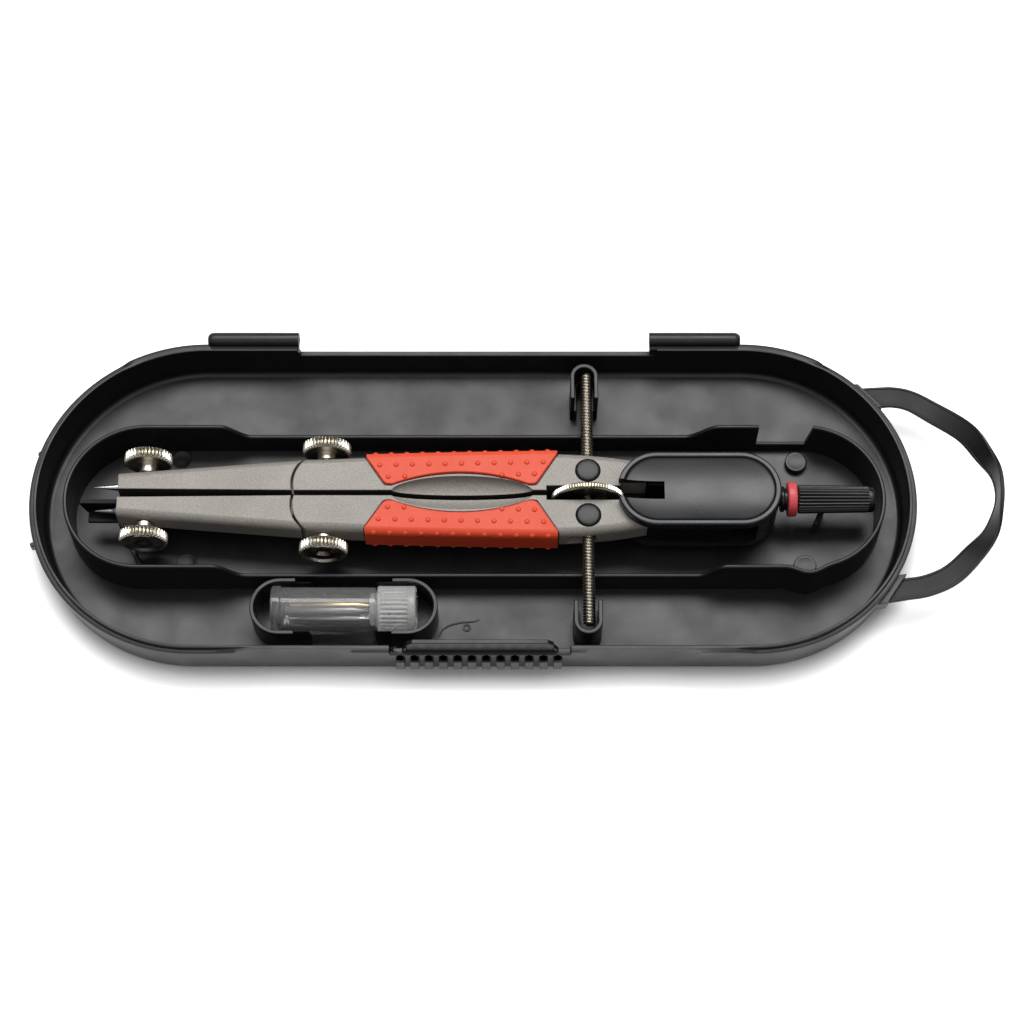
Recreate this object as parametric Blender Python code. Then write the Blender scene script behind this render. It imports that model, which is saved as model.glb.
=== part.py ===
"""A drafting compass set: a quick-set bow compass lying in the moulded tray of its case, with a
tube of spare leads and needles.

The tray stands on z = 0 with its middle at the origin and its length along X. The hinge side of
the tray faces +Y and its latch faces -Y. The compass lies along X, its points towards -X. Its
legs are mirror images across the compass axis, which runs along X at COMPASS_Y, COMPASS_Z: the
back leg is on the +Y side and the front leg on the -Y side.
"""

import math

import bmesh
import bpy
from mathutils import Matrix, Vector

MM = 0.001
GAP = 0.3 * MM  # between pieces that touch
RUNNING_GAP = 0.15 * MM  # round a pin or shaft

# Tray of the case: a shallow stadium-shaped moulding.
TRAY_STRAIGHT = 58.8 * MM  # half the length of its straight sides
TRAY_RIM_RADIUS = 36.2 * MM
TRAY_FOOT_RADIUS = 35.4 * MM
TRAY_HEIGHT = 11.65 * MM
TRAY_WALL = 1.7 * MM
FLOOR = 2.0 * MM  # top of the floor
COVE = 3.0 * MM  # radius between the wall and the floor
EMBED = 0.5 * MM  # how deep a wall stands in the floor
LIP_RISE = 0.3 * MM  # tongue of the rim above the plain rim
LIP_LEDGE = 0.8 * MM  # ledge outside the tongue, below the plain rim
LIP_WIDTH = 0.95 * MM
BACK_RIM = 9.3 * MM  # rim between the hinge barrels
BACK_INSET = 0.6 * MM

# Hinge barrels on the back wall, for the lid.
BARREL_INNER = 38.5 * MM
BARREL_OUTER = 58.6 * MM
BARREL_RADIUS = 1.75 * MM
BARREL_Y = 37.1 * MM
BARREL_Z = 11.65 * MM
BARREL_BORE = 0.8 * MM

# Latch on the front wall.
LATCH_X = 1.7 * MM
LATCH_WIDTH = 30.6 * MM
LATCH_TOP = 14.4 * MM
LATCH_THICK = 1.0 * MM
LATCH_Y = -35.3 * MM  # outer face of the latch tongue
LATCH_POCKET = 37.6 * MM
GRIP_RIBS = 12
GRIP_RIB_PITCH = 2.99 * MM
GRIP_RIB_X = 1.45 * MM  # their middle
GRIP_RIB_WIDTH = 1.8 * MM
GRIP_RIB_LOW = 4.6 * MM
GRIP_RIB_HIGH = 8.6 * MM
GRIP_RIB_Y = -37.3 * MM

# Cradle: the ring-shaped wall that the compass lies in.
CRADLE_STRAIGHT = 71.0 * MM
CRADLE_X = 0.3 * MM
CRADLE_Y = -0.95 * MM
CRADLE_RADIUS = 16.8 * MM
DETOUR_X, DETOUR_HALF, DETOUR_DEPTH = 70.9 * MM, 5.0 * MM, 1.3 * MM
CRADLE_WALL = 0.95 * MM
CRADLE_HIGH = 13.0 * MM
CRADLE_LOW = 8.0 * MM
CRADLE_NOTCH = 4.7 * MM
CRADLE_LEFT = (-54.6 * MM, -47.6 * MM)  # where the wall falls from high to low
CRADLE_RIGHT = (45.5 * MM, 53.0 * MM)  # and where it rises again
NOTCH = (61.6 * MM, 72.6 * MM)  # finger notch in its back side

# Posts that hold the ends of the spindle.
POST_X = (24.1 * MM, 24.3 * MM)  # back and front
POST_HALF_WIDTH = 3.0 * MM
POST_WALL = 0.9 * MM
POST_TOP = 12.6 * MM
POST_BACK = (22.4 * MM, 30.8 * MM)
POST_FRONT = (-24.8 * MM, -32.3 * MM)

# Holder of the spare tube.
HOLDER_X = -27.1 * MM
HOLDER_Y = -25.1 * MM
HOLDER_HALF_LENGTH = 19.8 * MM
HOLDER_HALF_WIDTH = 6.35 * MM
HOLDER_WALL = 0.9 * MM
HOLDER_TOP = 10.0 * MM
HOLDER_MOUTH = (-37.4 * MM, -17.0 * MM)  # open side between its two jaws
HOLDER_FOOT = (-34.8 * MM, -19.8 * MM)  # the same, lower down
HOLDER_FOOT_TOP = 9.0 * MM

# Carrying strap: its middle line in plan, from one lug round to the other, in mm.
STRAP_LINE = [
    (87.6, 24.7), (91.6, 24.9), (95.6, 24.0), (100.2, 21.2), (107.2, 16.3), (110.9, 10.8),
    (113.1, 6.6), (113.5, 1.8), (112.5, -2.9), (110.6, -7.7), (107.2, -11.9), (101.9, -17.1),
    (96.5, -19.7), (91.6, -20.6), (88.6, -21.1),
]
STRAP_WIDTH = 4.8 * MM
STRAP_THICK = 0.9 * MM
STRAP_Z = 8.0 * MM
STRAP_START = 37.0 * MM  # its ends, from the centre of the tray's right end
LUG_ROOT = 35.5 * MM
LUG_END = 37.8 * MM
LUG_WIDTH = 6.0 * MM
LUG_HEIGHT = 3.2 * MM
NUB = (1.5 * MM, 1.0 * MM, 2.2 * MM)  # small outside nubs at the left end

# Compass axis in the tray.
COMPASS_Y = -1.1 * MM
COMPASS_Z = 11.2 * MM
HALF_LEG = 3.5 * MM  # half the thickness of a leg

# Head.
HEAD_X = (30.7 * MM, 65.4 * MM)
HEAD_RADIUS = 8.5 * MM
HALF_HEAD = 5.85 * MM
HEAD_CHEEK = 2.1 * MM
HEAD_BORDER = 0.9 * MM
HEAD_DISH = 0.35 * MM
HEAD_SLOT_END = 40.7 * MM
HEAD_SLOT_HALF = 2.1 * MM
HEAD_BACK_WALL = 60.4 * MM
PIVOT = (52.5 * MM, 2.7 * MM)
PIVOT_PIN_RADIUS = 1.25 * MM
ROOT_RADIUS = 2.5 * MM
ROOT_FACE = 37.3 * MM  # where the leg ends and its hinge root begins
HALF_ROOT = 3.4 * MM

# Handle.
STEM_RADIUS = 1.5 * MM
NECK_RADIUS = 2.7 * MM
RING_X = (67.1 * MM, 69.05 * MM)
RING_RADIUS = 3.75 * MM
GRIP_END = 85.7 * MM
GRIP_RADIUS = 3.1 * MM
GRIP_GROOVES = 24
GRIP_GROOVE_DEPTH = 0.3 * MM

# Legs.
LEG_INNER = 0.55 * MM  # half the gap between the legs
KNEE = (-31.3 * MM, 2.4 * MM)
KNEE_RADIUS = 7.1 * MM
KNEE_SEAT = 7.4 * MM
KNEE_OUTER = 8.25 * MM
KNEE_SLOT = 1.5 * MM  # half its height
TONGUE_HALF = 1.2 * MM
TONGUE_RADIUS = 1.8 * MM
KNEE_PIN_RADIUS = 1.0 * MM
TIP_X = -75.6 * MM
TIP_INNER = 0.9 * MM
TIP_OUTER = 5.0 * MM
LEG_ROUND = 0.8 * MM
SPREAD = math.radians(30)

# Grip pads on the upper legs.
PAD_PROUD = 0.45 * MM
PAD_CORE = 2.9 * MM  # half the thickness of the leg inside the pad

# Spindle, nuts and centre wheel.
NUT_X = 24.5 * MM
NUT_Y = 5.2 * MM
NUT_RADIUS = 2.6 * MM
SPINDLE_RADIUS = 1.4 * MM
SPINDLE_HALF = 29.25 * MM
SPINDLE_SHIFT = 0.45 * MM
WHEEL_RADIUS = 7.8 * MM
WHEEL_THICK = 1.4 * MM
WHEEL_SHIFT = 0.1 * MM
WHEEL_NOTCH = (15.7 * MM, 1.6 * MM)

# Thumb screws, needle and lead.
SCREW_RADIUS = 5.2 * MM
SCREW_THICK = 2.5 * MM
SCREW_NECK = 2.1 * MM
SCREW_SHANK = 1.3 * MM
TIP_SCREW_X = -69.9 * MM
TIP_SCREW_Y = 7.9 * MM  # inner face of its head
TIP_NECK_Y = 5.85 * MM  # where its neck starts
KNEE_SCREW_X = -31.6 * MM
KNEE_SCREW_Y = 10.35 * MM
KNEE_NECK_Y = 8.85 * MM
POINT_Y = 2.75 * MM
NEEDLE_RADIUS = 0.75 * MM
NEEDLE_TIP = -81.3 * MM
NEEDLE_SHOULDER = -75.8 * MM
NEEDLE_END = -61.0 * MM
LEAD_RADIUS = 1.0 * MM
LEAD_TIP = -80.7 * MM
LEAD_SHOULDER = -72.6 * MM
LEAD_END = -61.0 * MM
POINT_TRAVEL = 5.0 * MM

# Guard round the lead: an L-shaped trough on the end of the front lower leg.
GUARD_X = (-83.9 * MM, -75.9 * MM)
GUARD_Y = (0.95 * MM, 1.85 * MM)  # its upright wall
GUARD_SHELF = 4.3 * MM
GUARD_Z = (-2.9 * MM, -2.0 * MM)  # its shelf, from the compass axis
GUARD_TOP = 2.1 * MM
GUARD_TONGUE = -72.0 * MM

# Spare tube: a clear tube with a push-in cap, both along X.
TUBE_X = (-42.3 * MM, -20.3 * MM)
TUBE_Y = HOLDER_Y
TUBE_Z = 8.0 * MM
TUBE_RADIUS = 4.7 * MM
TUBE_BORE = 3.9 * MM
TUBE_FLANGE = 4.95 * MM
TUBE_FLANGE_END = -40.2 * MM
TUBE_BASE = 1.2 * MM
CAP_END = -11.8 * MM
CAP_RADIUS = 4.95 * MM
CAP_PLUG = 3.7 * MM
CAP_PLUG_LENGTH = 1.6 * MM
SPARE_X = (-39.5 * MM, -22.2 * MM)


# --- Building blocks ---------------------------------------------------------------------------


def clear_scene():
    for obj in list(bpy.data.objects):
        bpy.data.objects.remove(obj, do_unlink=True)


def material(name, colour, roughness, metallic=0.0, alpha=1.0):
    made = bpy.data.materials.new(name)
    made.use_nodes = True
    shader = made.node_tree.nodes["Principled BSDF"]
    shader.inputs["Base Color"].default_value = (*colour, 1.0)
    shader.inputs["Roughness"].default_value = roughness
    shader.inputs["Metallic"].default_value = metallic
    shader.inputs["Alpha"].default_value = alpha
    return made


def new_object(name, bm, smooth_angle=40):
    bmesh.ops.remove_doubles(bm, verts=bm.verts, dist=1e-7)
    bmesh.ops.recalc_face_normals(bm, faces=bm.faces)
    mesh = bpy.data.meshes.new(name)
    bm.to_mesh(mesh)
    bm.free()
    mesh.shade_smooth()
    mesh.set_sharp_from_angle(angle=math.radians(smooth_angle))
    obj = bpy.data.objects.new(name, mesh)
    bpy.context.scene.collection.objects.link(obj)
    return obj


def loft(name, loops):
    """A closed solid through loops of equal length, with a flat cap at each end."""
    bm = bmesh.new()
    rings = [[bm.verts.new(point) for point in loop] for loop in loops]
    for low, high in zip(rings, rings[1:]):
        for i in range(len(low)):
            j = (i + 1) % len(low)
            bm.faces.new((low[i], low[j], high[j], high[i]))
    bm.faces.new(list(reversed(rings[0])))
    bm.faces.new(rings[-1])
    return new_object(name, bm)


def prism(name, outline, low, high):
    """A straight solid over an outline in XY, from z = low to z = high."""
    return loft(name, [[(x, y, z) for x, y in outline] for z in (low, high)])


def inset(outline, width):
    """The outline moved inwards by width, corner by corner."""
    count = len(outline)
    area = sum(
        outline[i][0] * outline[(i + 1) % count][1] - outline[(i + 1) % count][0] * outline[i][1]
        for i in range(count)
    )
    side = 1 if area > 0 else -1
    moved = []
    for i in range(count):
        here = Vector(outline[i])
        before = (here - Vector(outline[i - 1])).normalized()
        after = (Vector(outline[(i + 1) % count]) - here).normalized()
        normal = Vector((-before.y, before.x)) * side
        other = Vector((-after.y, after.x)) * side
        share = max(1 + normal.dot(other), 0.5)
        moved.append(tuple(here + (normal + other) * (width / share)))
    return moved


def rounded_prism(name, outline, low, high, radius, steps=2):
    """A prism whose upper and lower edges are rounded."""
    loops = []
    for end, sign in ((low, 1), (high, -1)):
        turns = range(steps + 1) if sign > 0 else range(steps, -1, -1)
        for turn in turns:
            angle = math.radians(90) * turn / steps
            ring = inset(outline, radius * (1 - math.sin(angle)))
            z = end + sign * radius * (1 - math.cos(angle))
            loops.append([(x, y, z) for x, y in ring])
    return loft(name, loops)


def lathe(name, profile, origin, axis, steps=32):
    """A turned solid. The profile holds (distance along the axis, radius) from end to end."""
    axis = Vector(axis).normalized()
    side = axis.orthogonal().normalized()
    other = axis.cross(side)
    origin = Vector(origin)
    loops = []
    for along, radius in profile:
        ring = []
        for i in range(steps):
            angle = 2 * math.pi * i / steps
            spoke = side * math.cos(angle) + other * math.sin(angle)
            ring.append(origin + axis * along + spoke * radius)
        loops.append(ring)
    return loft(name, loops)


def box(name, low, high):
    corners = [(low[0], low[1]), (high[0], low[1]), (high[0], high[1]), (low[0], high[1])]
    return prism(name, corners, low[2], high[2])


def combine(obj, other, operation):
    """Applies one exact Boolean and removes the other object."""
    modifier = obj.modifiers.new("combine", "BOOLEAN")
    modifier.object = other
    modifier.operation = operation
    modifier.solver = "EXACT"
    bpy.context.view_layer.update()
    graph = bpy.context.evaluated_depsgraph_get()
    mesh = bpy.data.meshes.new_from_object(obj.evaluated_get(graph))
    obj.modifiers.clear()
    obj.data = mesh
    bpy.data.objects.remove(other, do_unlink=True)


def cut(obj, *cutters):
    for cutter in cutters:
        combine(obj, cutter, "DIFFERENCE")


def add(obj, *others):
    for other in others:
        combine(obj, other, "UNION")


def empty(name, place, parent=None):
    """A frame at a joint's axis. Its own axes stay those of the world."""
    frame = bpy.data.objects.new(name, None)
    frame["place"] = tuple(place)
    frame.parent = parent
    start = Vector(parent["place"]) if parent else Vector()
    frame.location = Vector(place) - start
    bpy.context.scene.collection.objects.link(frame)
    return frame


def settle(obj, frame, finish):
    """Hands an object, built where it rests, to a frame, with its origin on the frame's."""
    obj.data.transform(Matrix.Translation(-Vector(frame["place"])))
    obj.parent = frame
    obj.data.materials.clear()
    obj.data.materials.append(finish)
    obj.data.shade_smooth()
    obj.data.set_sharp_from_angle(angle=math.radians(40))


def arc(centre, radius, start, end, steps):
    """Points on an arc, its ends included, angles in degrees."""
    points = []
    for i in range(steps + 1):
        angle = math.radians(start + (end - start) * i / steps)
        x = centre[0] + radius * math.cos(angle)
        points.append((x, centre[1] + radius * math.sin(angle)))
    return points


def on_leg(outline, side):
    """Moves an outline from the compass's own axes to the world, mirrored for the front leg."""
    return [(x, COMPASS_Y + side * y) for x, y in outline]


def at(x, y, z=0.0):
    """A point of the compass, from its own axes, in the world."""
    return Vector((x, COMPASS_Y + y, COMPASS_Z + z))


def stadium(x_low, x_high, y_middle, radius, steps=12):
    """A stadium outline along X."""
    right = arc((x_high - radius, y_middle), radius, -90, 90, steps)
    left = arc((x_low + radius, y_middle), radius, 90, 270, steps)
    return right + left


# --- Case ----------------------------------------------------------------------------------------


def tray_spine():
    """Stations round the tray: (x of the centre, angle), the right end first."""
    ends = 28
    right = [(TRAY_STRAIGHT, math.radians(-90 + 180 * i / ends)) for i in range(ends + 1)]
    left = [(-TRAY_STRAIGHT, math.radians(90 + 180 * i / ends)) for i in range(ends + 1)]
    step = 0.1 * MM
    breaks = (BARREL_INNER + step, BARREL_INNER, -BARREL_INNER, -BARREL_INNER - step)
    back = [(x, math.radians(90)) for x in breaks]
    return right + back + left


def tray_loop(height, radius, back_height=None, back_radius=None):
    """One loop of the tray's section, with its own size between the hinge barrels."""
    loop = []
    for x, angle in tray_spine():
        between = abs(x) <= BARREL_INNER
        r = back_radius if between and back_radius else radius
        z = back_height if between and back_height else height
        loop.append((x + r * math.cos(angle), r * math.sin(angle), z))
    return loop


def tray_shell():
    ledge = TRAY_HEIGHT - LIP_LEDGE
    top = TRAY_HEIGHT + LIP_RISE
    tongue = TRAY_RIM_RADIUS - LIP_WIDTH
    inner = TRAY_RIM_RADIUS - TRAY_WALL
    step = 0.1 * MM
    return loft(
        "case_tray",
        [
            tray_loop(0, TRAY_FOOT_RADIUS - 1.2 * MM),
            tray_loop(0.35 * MM, TRAY_FOOT_RADIUS - 0.35 * MM),
            tray_loop(1.2 * MM, TRAY_FOOT_RADIUS),
            tray_loop(ledge, TRAY_RIM_RADIUS, BACK_RIM - step, TRAY_RIM_RADIUS - BACK_INSET),
            tray_loop(ledge + step, tongue, BACK_RIM, tongue),
            tray_loop(top, tongue - 0.05 * MM, BACK_RIM + step, tongue - step),
            tray_loop(top, inner, BACK_RIM + step, inner),
            tray_loop(FLOOR + COVE, inner - 0.4 * MM),
            tray_loop(FLOOR + COVE * 0.5, inner - 0.4 * MM - COVE * 0.134),
            tray_loop(FLOOR + COVE * 0.134, inner - 0.4 * MM - COVE * 0.5),
            tray_loop(FLOOR, inner - 0.4 * MM - COVE),
        ],
    )


def wall_height(x, back, low, high):
    """Height of the cradle wall along X: high at the ends, low in the middle."""
    if back and NOTCH[0] < x < NOTCH[1]:
        return CRADLE_NOTCH
    for start, end in (CRADLE_LEFT, tuple(reversed(CRADLE_RIGHT))):
        share = (x - start) / (end - start)
        if 0 < share < 1:
            return high + (low - high) * (0.5 - 0.5 * math.cos(math.pi * share))
    return low if CRADLE_LEFT[1] <= x <= CRADLE_RIGHT[0] else high


def cradle_stations():
    ends = 14
    low, high = -CRADLE_STRAIGHT, CRADLE_STRAIGHT
    slopes = []
    for start, end in (CRADLE_LEFT, CRADLE_RIGHT):
        slopes += [start + (end - start) * i / 6 for i in range(7)]
    edge = 0.05 * MM
    notch = [NOTCH[0] - edge, NOTCH[0] + edge, NOTCH[1] - edge, NOTCH[1] + 0.9 * MM]
    back = sorted(x - CRADLE_X for x in slopes + notch if x - CRADLE_X < high)
    bend = [DETOUR_X + DETOUR_HALF * (i / 5 - 1) for i in range(11)]
    front = sorted(x - CRADLE_X for x in slopes + bend if x - CRADLE_X < high)
    right = [(high, math.radians(-90 + 180 * i / ends)) for i in range(ends + 1)]
    left = [(low, math.radians(90 + 180 * i / ends)) for i in range(ends + 1)]
    return (
        right
        + [(x, math.radians(90)) for x in reversed(back)]
        + left
        + [(x, math.radians(270)) for x in front]
    )


def detour(x):
    """How far the front of the ring wall steps out round the floor post beside it."""
    share = max(1 - abs(x - DETOUR_X) / DETOUR_HALF, 0)
    return DETOUR_DEPTH * share * share * (3 - 2 * share)


def cradle_wall():
    """The ring wall: at each station its foot and top, outside and inside."""
    bm = bmesh.new()
    rings = []
    for x, angle in cradle_stations():
        back = 0 < angle < math.radians(180)
        place = x + CRADLE_X + CRADLE_RADIUS * math.cos(angle)
        top = wall_height(place, back, CRADLE_LOW, CRADLE_HIGH)
        ring = []
        out = detour(place) if math.sin(angle) < -0.5 else 0
        for radius, z in (
            (CRADLE_RADIUS + 0.35 * MM, FLOOR - EMBED),
            (CRADLE_RADIUS, top),
            (CRADLE_RADIUS - CRADLE_WALL, top),
            (CRADLE_RADIUS - CRADLE_WALL - 0.25 * MM, FLOOR - EMBED),
        ):
            px = x + CRADLE_X + (radius + out) * math.cos(angle)
            ring.append(bm.verts.new((px, CRADLE_Y + (radius + out) * math.sin(angle), z)))
        rings.append(ring)
    for here, there in zip(rings, rings[1:] + rings[:1]):
        for i in range(4):
            j = (i + 1) % 4
            bm.faces.new((here[i], here[j], there[j], there[i]))
    return new_object("cradle_wall", bm)


def spindle_post(name, post_x, open_y, closed_y):
    """A U-shaped post round one end of the spindle, open towards the compass."""
    sign = 1 if closed_y > open_y else -1
    middle = closed_y - sign * POST_HALF_WIDTH
    start, end = (0, 180) if sign > 0 else (0, -180)
    outer = arc((post_x, middle), POST_HALF_WIDTH, start, end, 10)
    inner = arc((post_x, middle), POST_HALF_WIDTH - POST_WALL, end, start, 10)
    outline = [(outer[0][0], open_y)] + outer + [(outer[-1][0], open_y)]
    outline += [(inner[0][0], open_y)] + inner + [(inner[-1][0], open_y)]
    return prism(name, outline, FLOOR - EMBED, POST_TOP)


def holder_jaw(name, sign, mouths, top, shrink=0.0):
    """One C-shaped jaw of the tube holder: sign -1 is the left jaw, +1 the right one."""
    centre = (HOLDER_X + sign * (HOLDER_HALF_LENGTH - HOLDER_HALF_WIDTH), HOLDER_Y)
    mouth = mouths[0] if sign < 0 else mouths[1]
    start, end = (90, 270) if sign < 0 else (90, -90)
    outer = arc(centre, HOLDER_HALF_WIDTH - shrink, start, end, 12)
    inner = arc(centre, HOLDER_HALF_WIDTH - HOLDER_WALL + shrink, end, start, 12)
    outline = [(mouth, outer[0][1])] + outer + [(mouth, outer[-1][1])]
    outline += [(mouth, inner[0][1])] + inner + [(mouth, inner[-1][1])]
    return prism(name, outline, FLOOR - EMBED, top)


def hinge_barrel(name, sign):
    """A barrel with a bore in its open end, on a web that stands on the back wall."""
    inner, outer = sign * BARREL_INNER, sign * BARREL_OUTER
    length = BARREL_OUTER - BARREL_INNER
    barrel = lathe(
        name,
        [(0, BARREL_RADIUS), (length - 1.0 * MM, BARREL_RADIUS), (length, BARREL_RADIUS * 0.75)],
        (inner, BARREL_Y, BARREL_Z),
        (sign, 0, 0),
        20,
    )
    low, high = sorted((inner, outer))
    web = box(
        "web",
        (low, TRAY_RIM_RADIUS - TRAY_WALL + 0.1 * MM, BARREL_Z - 3.0 * MM),
        (high, BARREL_Y, BARREL_Z + 0.5 * MM),
    )
    add(barrel, web)
    bore = lathe(
        "bore",
        [(-1 * MM, BARREL_BORE), (6 * MM, BARREL_BORE)],
        (inner, BARREL_Y, BARREL_Z),
        (sign, 0, 0),
        12,
    )
    cut(barrel, bore)
    return barrel


def latch_tongue():
    half = LATCH_WIDTH / 2
    corner = 1.3 * MM
    outline = [(LATCH_X - half, 8.0 * MM), (LATCH_X + half, 8.0 * MM)]
    outline += [(LATCH_X + half, LATCH_TOP - corner), (LATCH_X + half - corner, LATCH_TOP)]
    outline += [(LATCH_X - half + corner, LATCH_TOP), (LATCH_X - half, LATCH_TOP - corner)]
    sheet = [[(x, y, z) for x, z in outline] for y in (LATCH_Y, LATCH_Y + LATCH_THICK)]
    return loft("latch_tongue", sheet)


def latch_rib(index):
    first = GRIP_RIB_X - GRIP_RIB_PITCH * (GRIP_RIBS - 1) / 2
    x = first + index * GRIP_RIB_PITCH
    inner = TRAY_FOOT_RADIUS - 0.6 * MM
    section = [(-inner, GRIP_RIB_LOW), (GRIP_RIB_Y, GRIP_RIB_LOW)]
    section += [(GRIP_RIB_Y, GRIP_RIB_HIGH - 0.3 * MM), (GRIP_RIB_Y + 0.3 * MM, GRIP_RIB_HIGH)]
    section += [(-inner, GRIP_RIB_HIGH)]
    half = GRIP_RIB_WIDTH / 2
    return loft("latch_rib", [[(x + d, y, z) for y, z in section] for d in (-half, half)])


def thumb_scoop(x):
    """A cutter for the shallow lens-shaped scoop in the front wall."""
    bm = bmesh.new()
    bmesh.ops.create_uvsphere(bm, u_segments=20, v_segments=10, radius=1.0)
    bmesh.ops.scale(bm, vec=(12.5 * MM, 1.05 * MM, 8.2 * MM), verts=bm.verts)
    bmesh.ops.translate(bm, vec=(x, -TRAY_RIM_RADIUS - 0.2 * MM, TRAY_HEIGHT), verts=bm.verts)
    return new_object("thumb_scoop", bm)


def meet_end(point, along, radius):
    """Where a line in plan meets a circle round the centre of the tray's right end."""
    start = Vector(point) - Vector((TRAY_STRAIGHT, 0))
    along = Vector(along).normalized()
    middle = -start.dot(along)
    reach = math.sqrt(radius**2 - (start + along * middle).length_squared)
    return Vector(point) + along * (middle + reach)


def strap_end(last):
    """One end of the strap in plan: a point on its middle line, and the way that it points."""
    line = [Vector(point) * MM for point in STRAP_LINE]
    here, ahead = (line[-1], line[-2]) if last else (line[0], line[1])
    return here, (ahead - here).normalized()


def strap_band(name, last, start, end, width, height):
    """A slab along one end of the strap, its ends on circles round the tray's right end."""
    here, along = strap_end(last)
    across = Vector((-along.y, along.x)) * (width / 2)
    outline = [meet_end(here - across, along, start), meet_end(here - across, along, end)]
    outline += [meet_end(here + across, along, end), meet_end(here + across, along, start)]
    corners = [tuple(point) for point in outline]
    return prism(name, corners, STRAP_Z - height / 2, STRAP_Z + height / 2)


def strap_lug(last):
    """A block on the right end wall with a socket that the strap's end sits in."""
    lug = strap_band("lug", last, LUG_ROOT, LUG_END, LUG_WIDTH, LUG_HEIGHT)
    width, height = STRAP_WIDTH + 2 * GAP, STRAP_THICK + 2 * GAP
    start = STRAP_START - GAP
    cut(lug, strap_band("socket", last, start, LUG_END + 3 * MM, width, height))
    return lug


def end_nub(angle):
    """A small square nub on the outside of the left end."""
    out = Vector((math.cos(angle), math.sin(angle)))
    across = Vector((-out.y, out.x)) * (NUB[0] / 2)
    centre = Vector((-TRAY_STRAIGHT, 0))
    near, far = TRAY_RIM_RADIUS - 1.4 * MM, TRAY_RIM_RADIUS + NUB[1]
    outline = [out * near - across, out * far - across, out * far + across, out * near + across]
    corners = [tuple(centre + point) for point in outline]
    return prism("nub", corners, 7.0 * MM, 7.0 * MM + NUB[2])


def floor_posts():
    """Low round posts on the floor."""
    foot = FLOOR - EMBED
    posts = []
    for x, y, radius, top in (
        (70.5 * MM, 11.0 * MM, 2.4 * MM, 4.0 * MM),
        (71.0 * MM, -13.4 * MM, 2.4 * MM, 6.0 * MM),
    ):
        posts.append(lathe("post", [(0, radius), (top - foot, radius)], (x, y, foot), (0, 0, 1), 16))
    return posts


def floor_rest(name, start, end, width, top):
    """A low straight rib on the floor, from start to end."""
    start, end = Vector(start), Vector(end)
    along = (end - start).normalized()
    across = Vector((-along.y, along.x)) * (width / 2)
    outline = [start + across, start - across, end - across, end + across]
    return prism(name, [tuple(point) for point in outline], FLOOR - EMBED, top)


def case_tray():
    tray = tray_shell()
    pocket_low = (LATCH_X - LATCH_POCKET / 2, -TRAY_RIM_RADIUS - 1 * MM, TRAY_HEIGHT - 2.2 * MM)
    pocket_high = (LATCH_X + LATCH_POCKET / 2, LATCH_Y - 0.3 * MM, TRAY_HEIGHT + 1 * MM)
    cut(tray, box("pocket", pocket_low, pocket_high))
    cut(tray, thumb_scoop(-37.2 * MM), thumb_scoop(35.8 * MM))
    add(tray, cradle_wall())
    add(tray, spindle_post("post_back", POST_X[0], *POST_BACK))
    add(tray, spindle_post("post_front", POST_X[1], *POST_FRONT))
    for sign in (-1, 1):
        add(tray, holder_jaw("jaw", sign, HOLDER_MOUTH, HOLDER_TOP))
        add(tray, holder_jaw("jaw_foot", sign, HOLDER_FOOT, HOLDER_FOOT_TOP, 0.05 * MM))
    add(tray, hinge_barrel("barrel_right", 1), hinge_barrel("barrel_left", -1))
    add(tray, latch_tongue())
    for index in range(GRIP_RIBS):
        add(tray, latch_rib(index))
    add(tray, strap_lug(False), strap_lug(True))
    add(tray, end_nub(math.radians(163)), end_nub(math.radians(197)))
    add(tray, *floor_posts())
    add(
        tray,
        floor_rest("rest", (-76.4 * MM, -4.5 * MM), (-71.5 * MM, -13.5 * MM), 0.9 * MM, 4.2 * MM),
        floor_rest("rest", (73.6 * MM, -5.4 * MM), (75.6 * MM, -0.4 * MM), 1.0 * MM, 7.5 * MM),
    )
    return tray


def smooth_line(knots, steps):
    """Points on a Catmull-Rom curve through the knots."""
    points = []
    for i in range(len(knots) - 1):
        a = knots[i - 1] if i else knots[0] * 2 - knots[1]
        b, c = knots[i], knots[i + 1]
        d = knots[i + 2] if i + 2 < len(knots) else c * 2 - b
        for step in range(steps):
            t = step / steps
            points.append(
                0.5
                * (2 * b + (c - a) * t + (2 * a - 5 * b + 4 * c - d) * t * t)
                + 0.5 * (3 * b - a - 3 * c + d) * t**3
            )
    points.append(knots[-1])
    return points


def carry_strap():
    """A flat band that stands on its edge at the far end of the loop."""
    route = smooth_line([Vector((x * MM, y * MM, STRAP_Z)) for x, y in STRAP_LINE], 3)
    inner = [p for p in route if min((p - e).length for e in (route[0], route[-1])) > 3.2 * MM]
    route = [route[0], *inner, route[-1]]
    ends = {0: strap_end(False), len(route) - 1: strap_end(True)}
    loops = []
    for i, point in enumerate(route):
        ahead = route[min(i + 1, len(route) - 1)] - route[max(i - 1, 0)]
        across = Vector((-ahead.y, ahead.x, 0)).normalized()
        share = min(max((i / (len(route) - 1) - 0.1) / 0.8, 0), 1)
        twist = math.radians(85) * math.sin(math.pi * share) ** 2
        flat = across * math.cos(twist) + Vector((0, 0, 1)) * math.sin(twist)
        thick = across * -math.sin(twist) + Vector((0, 0, 1)) * math.cos(twist)
        ring = []
        for w, h in ((-1, -1), (1, -1), (1, 1), (-1, 1)):
            corner = point + flat * (w * STRAP_WIDTH / 2) + thick * (h * STRAP_THICK / 2)
            if i in ends:
                start = meet_end(corner.xy, ends[i][1], STRAP_START)
                corner = Vector((start.x, start.y, corner.z))
            ring.append(corner)
        loops.append(ring)
    return loft("carry_strap", loops)


# --- Spare tube ----------------------------------------------------------------------------------


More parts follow.
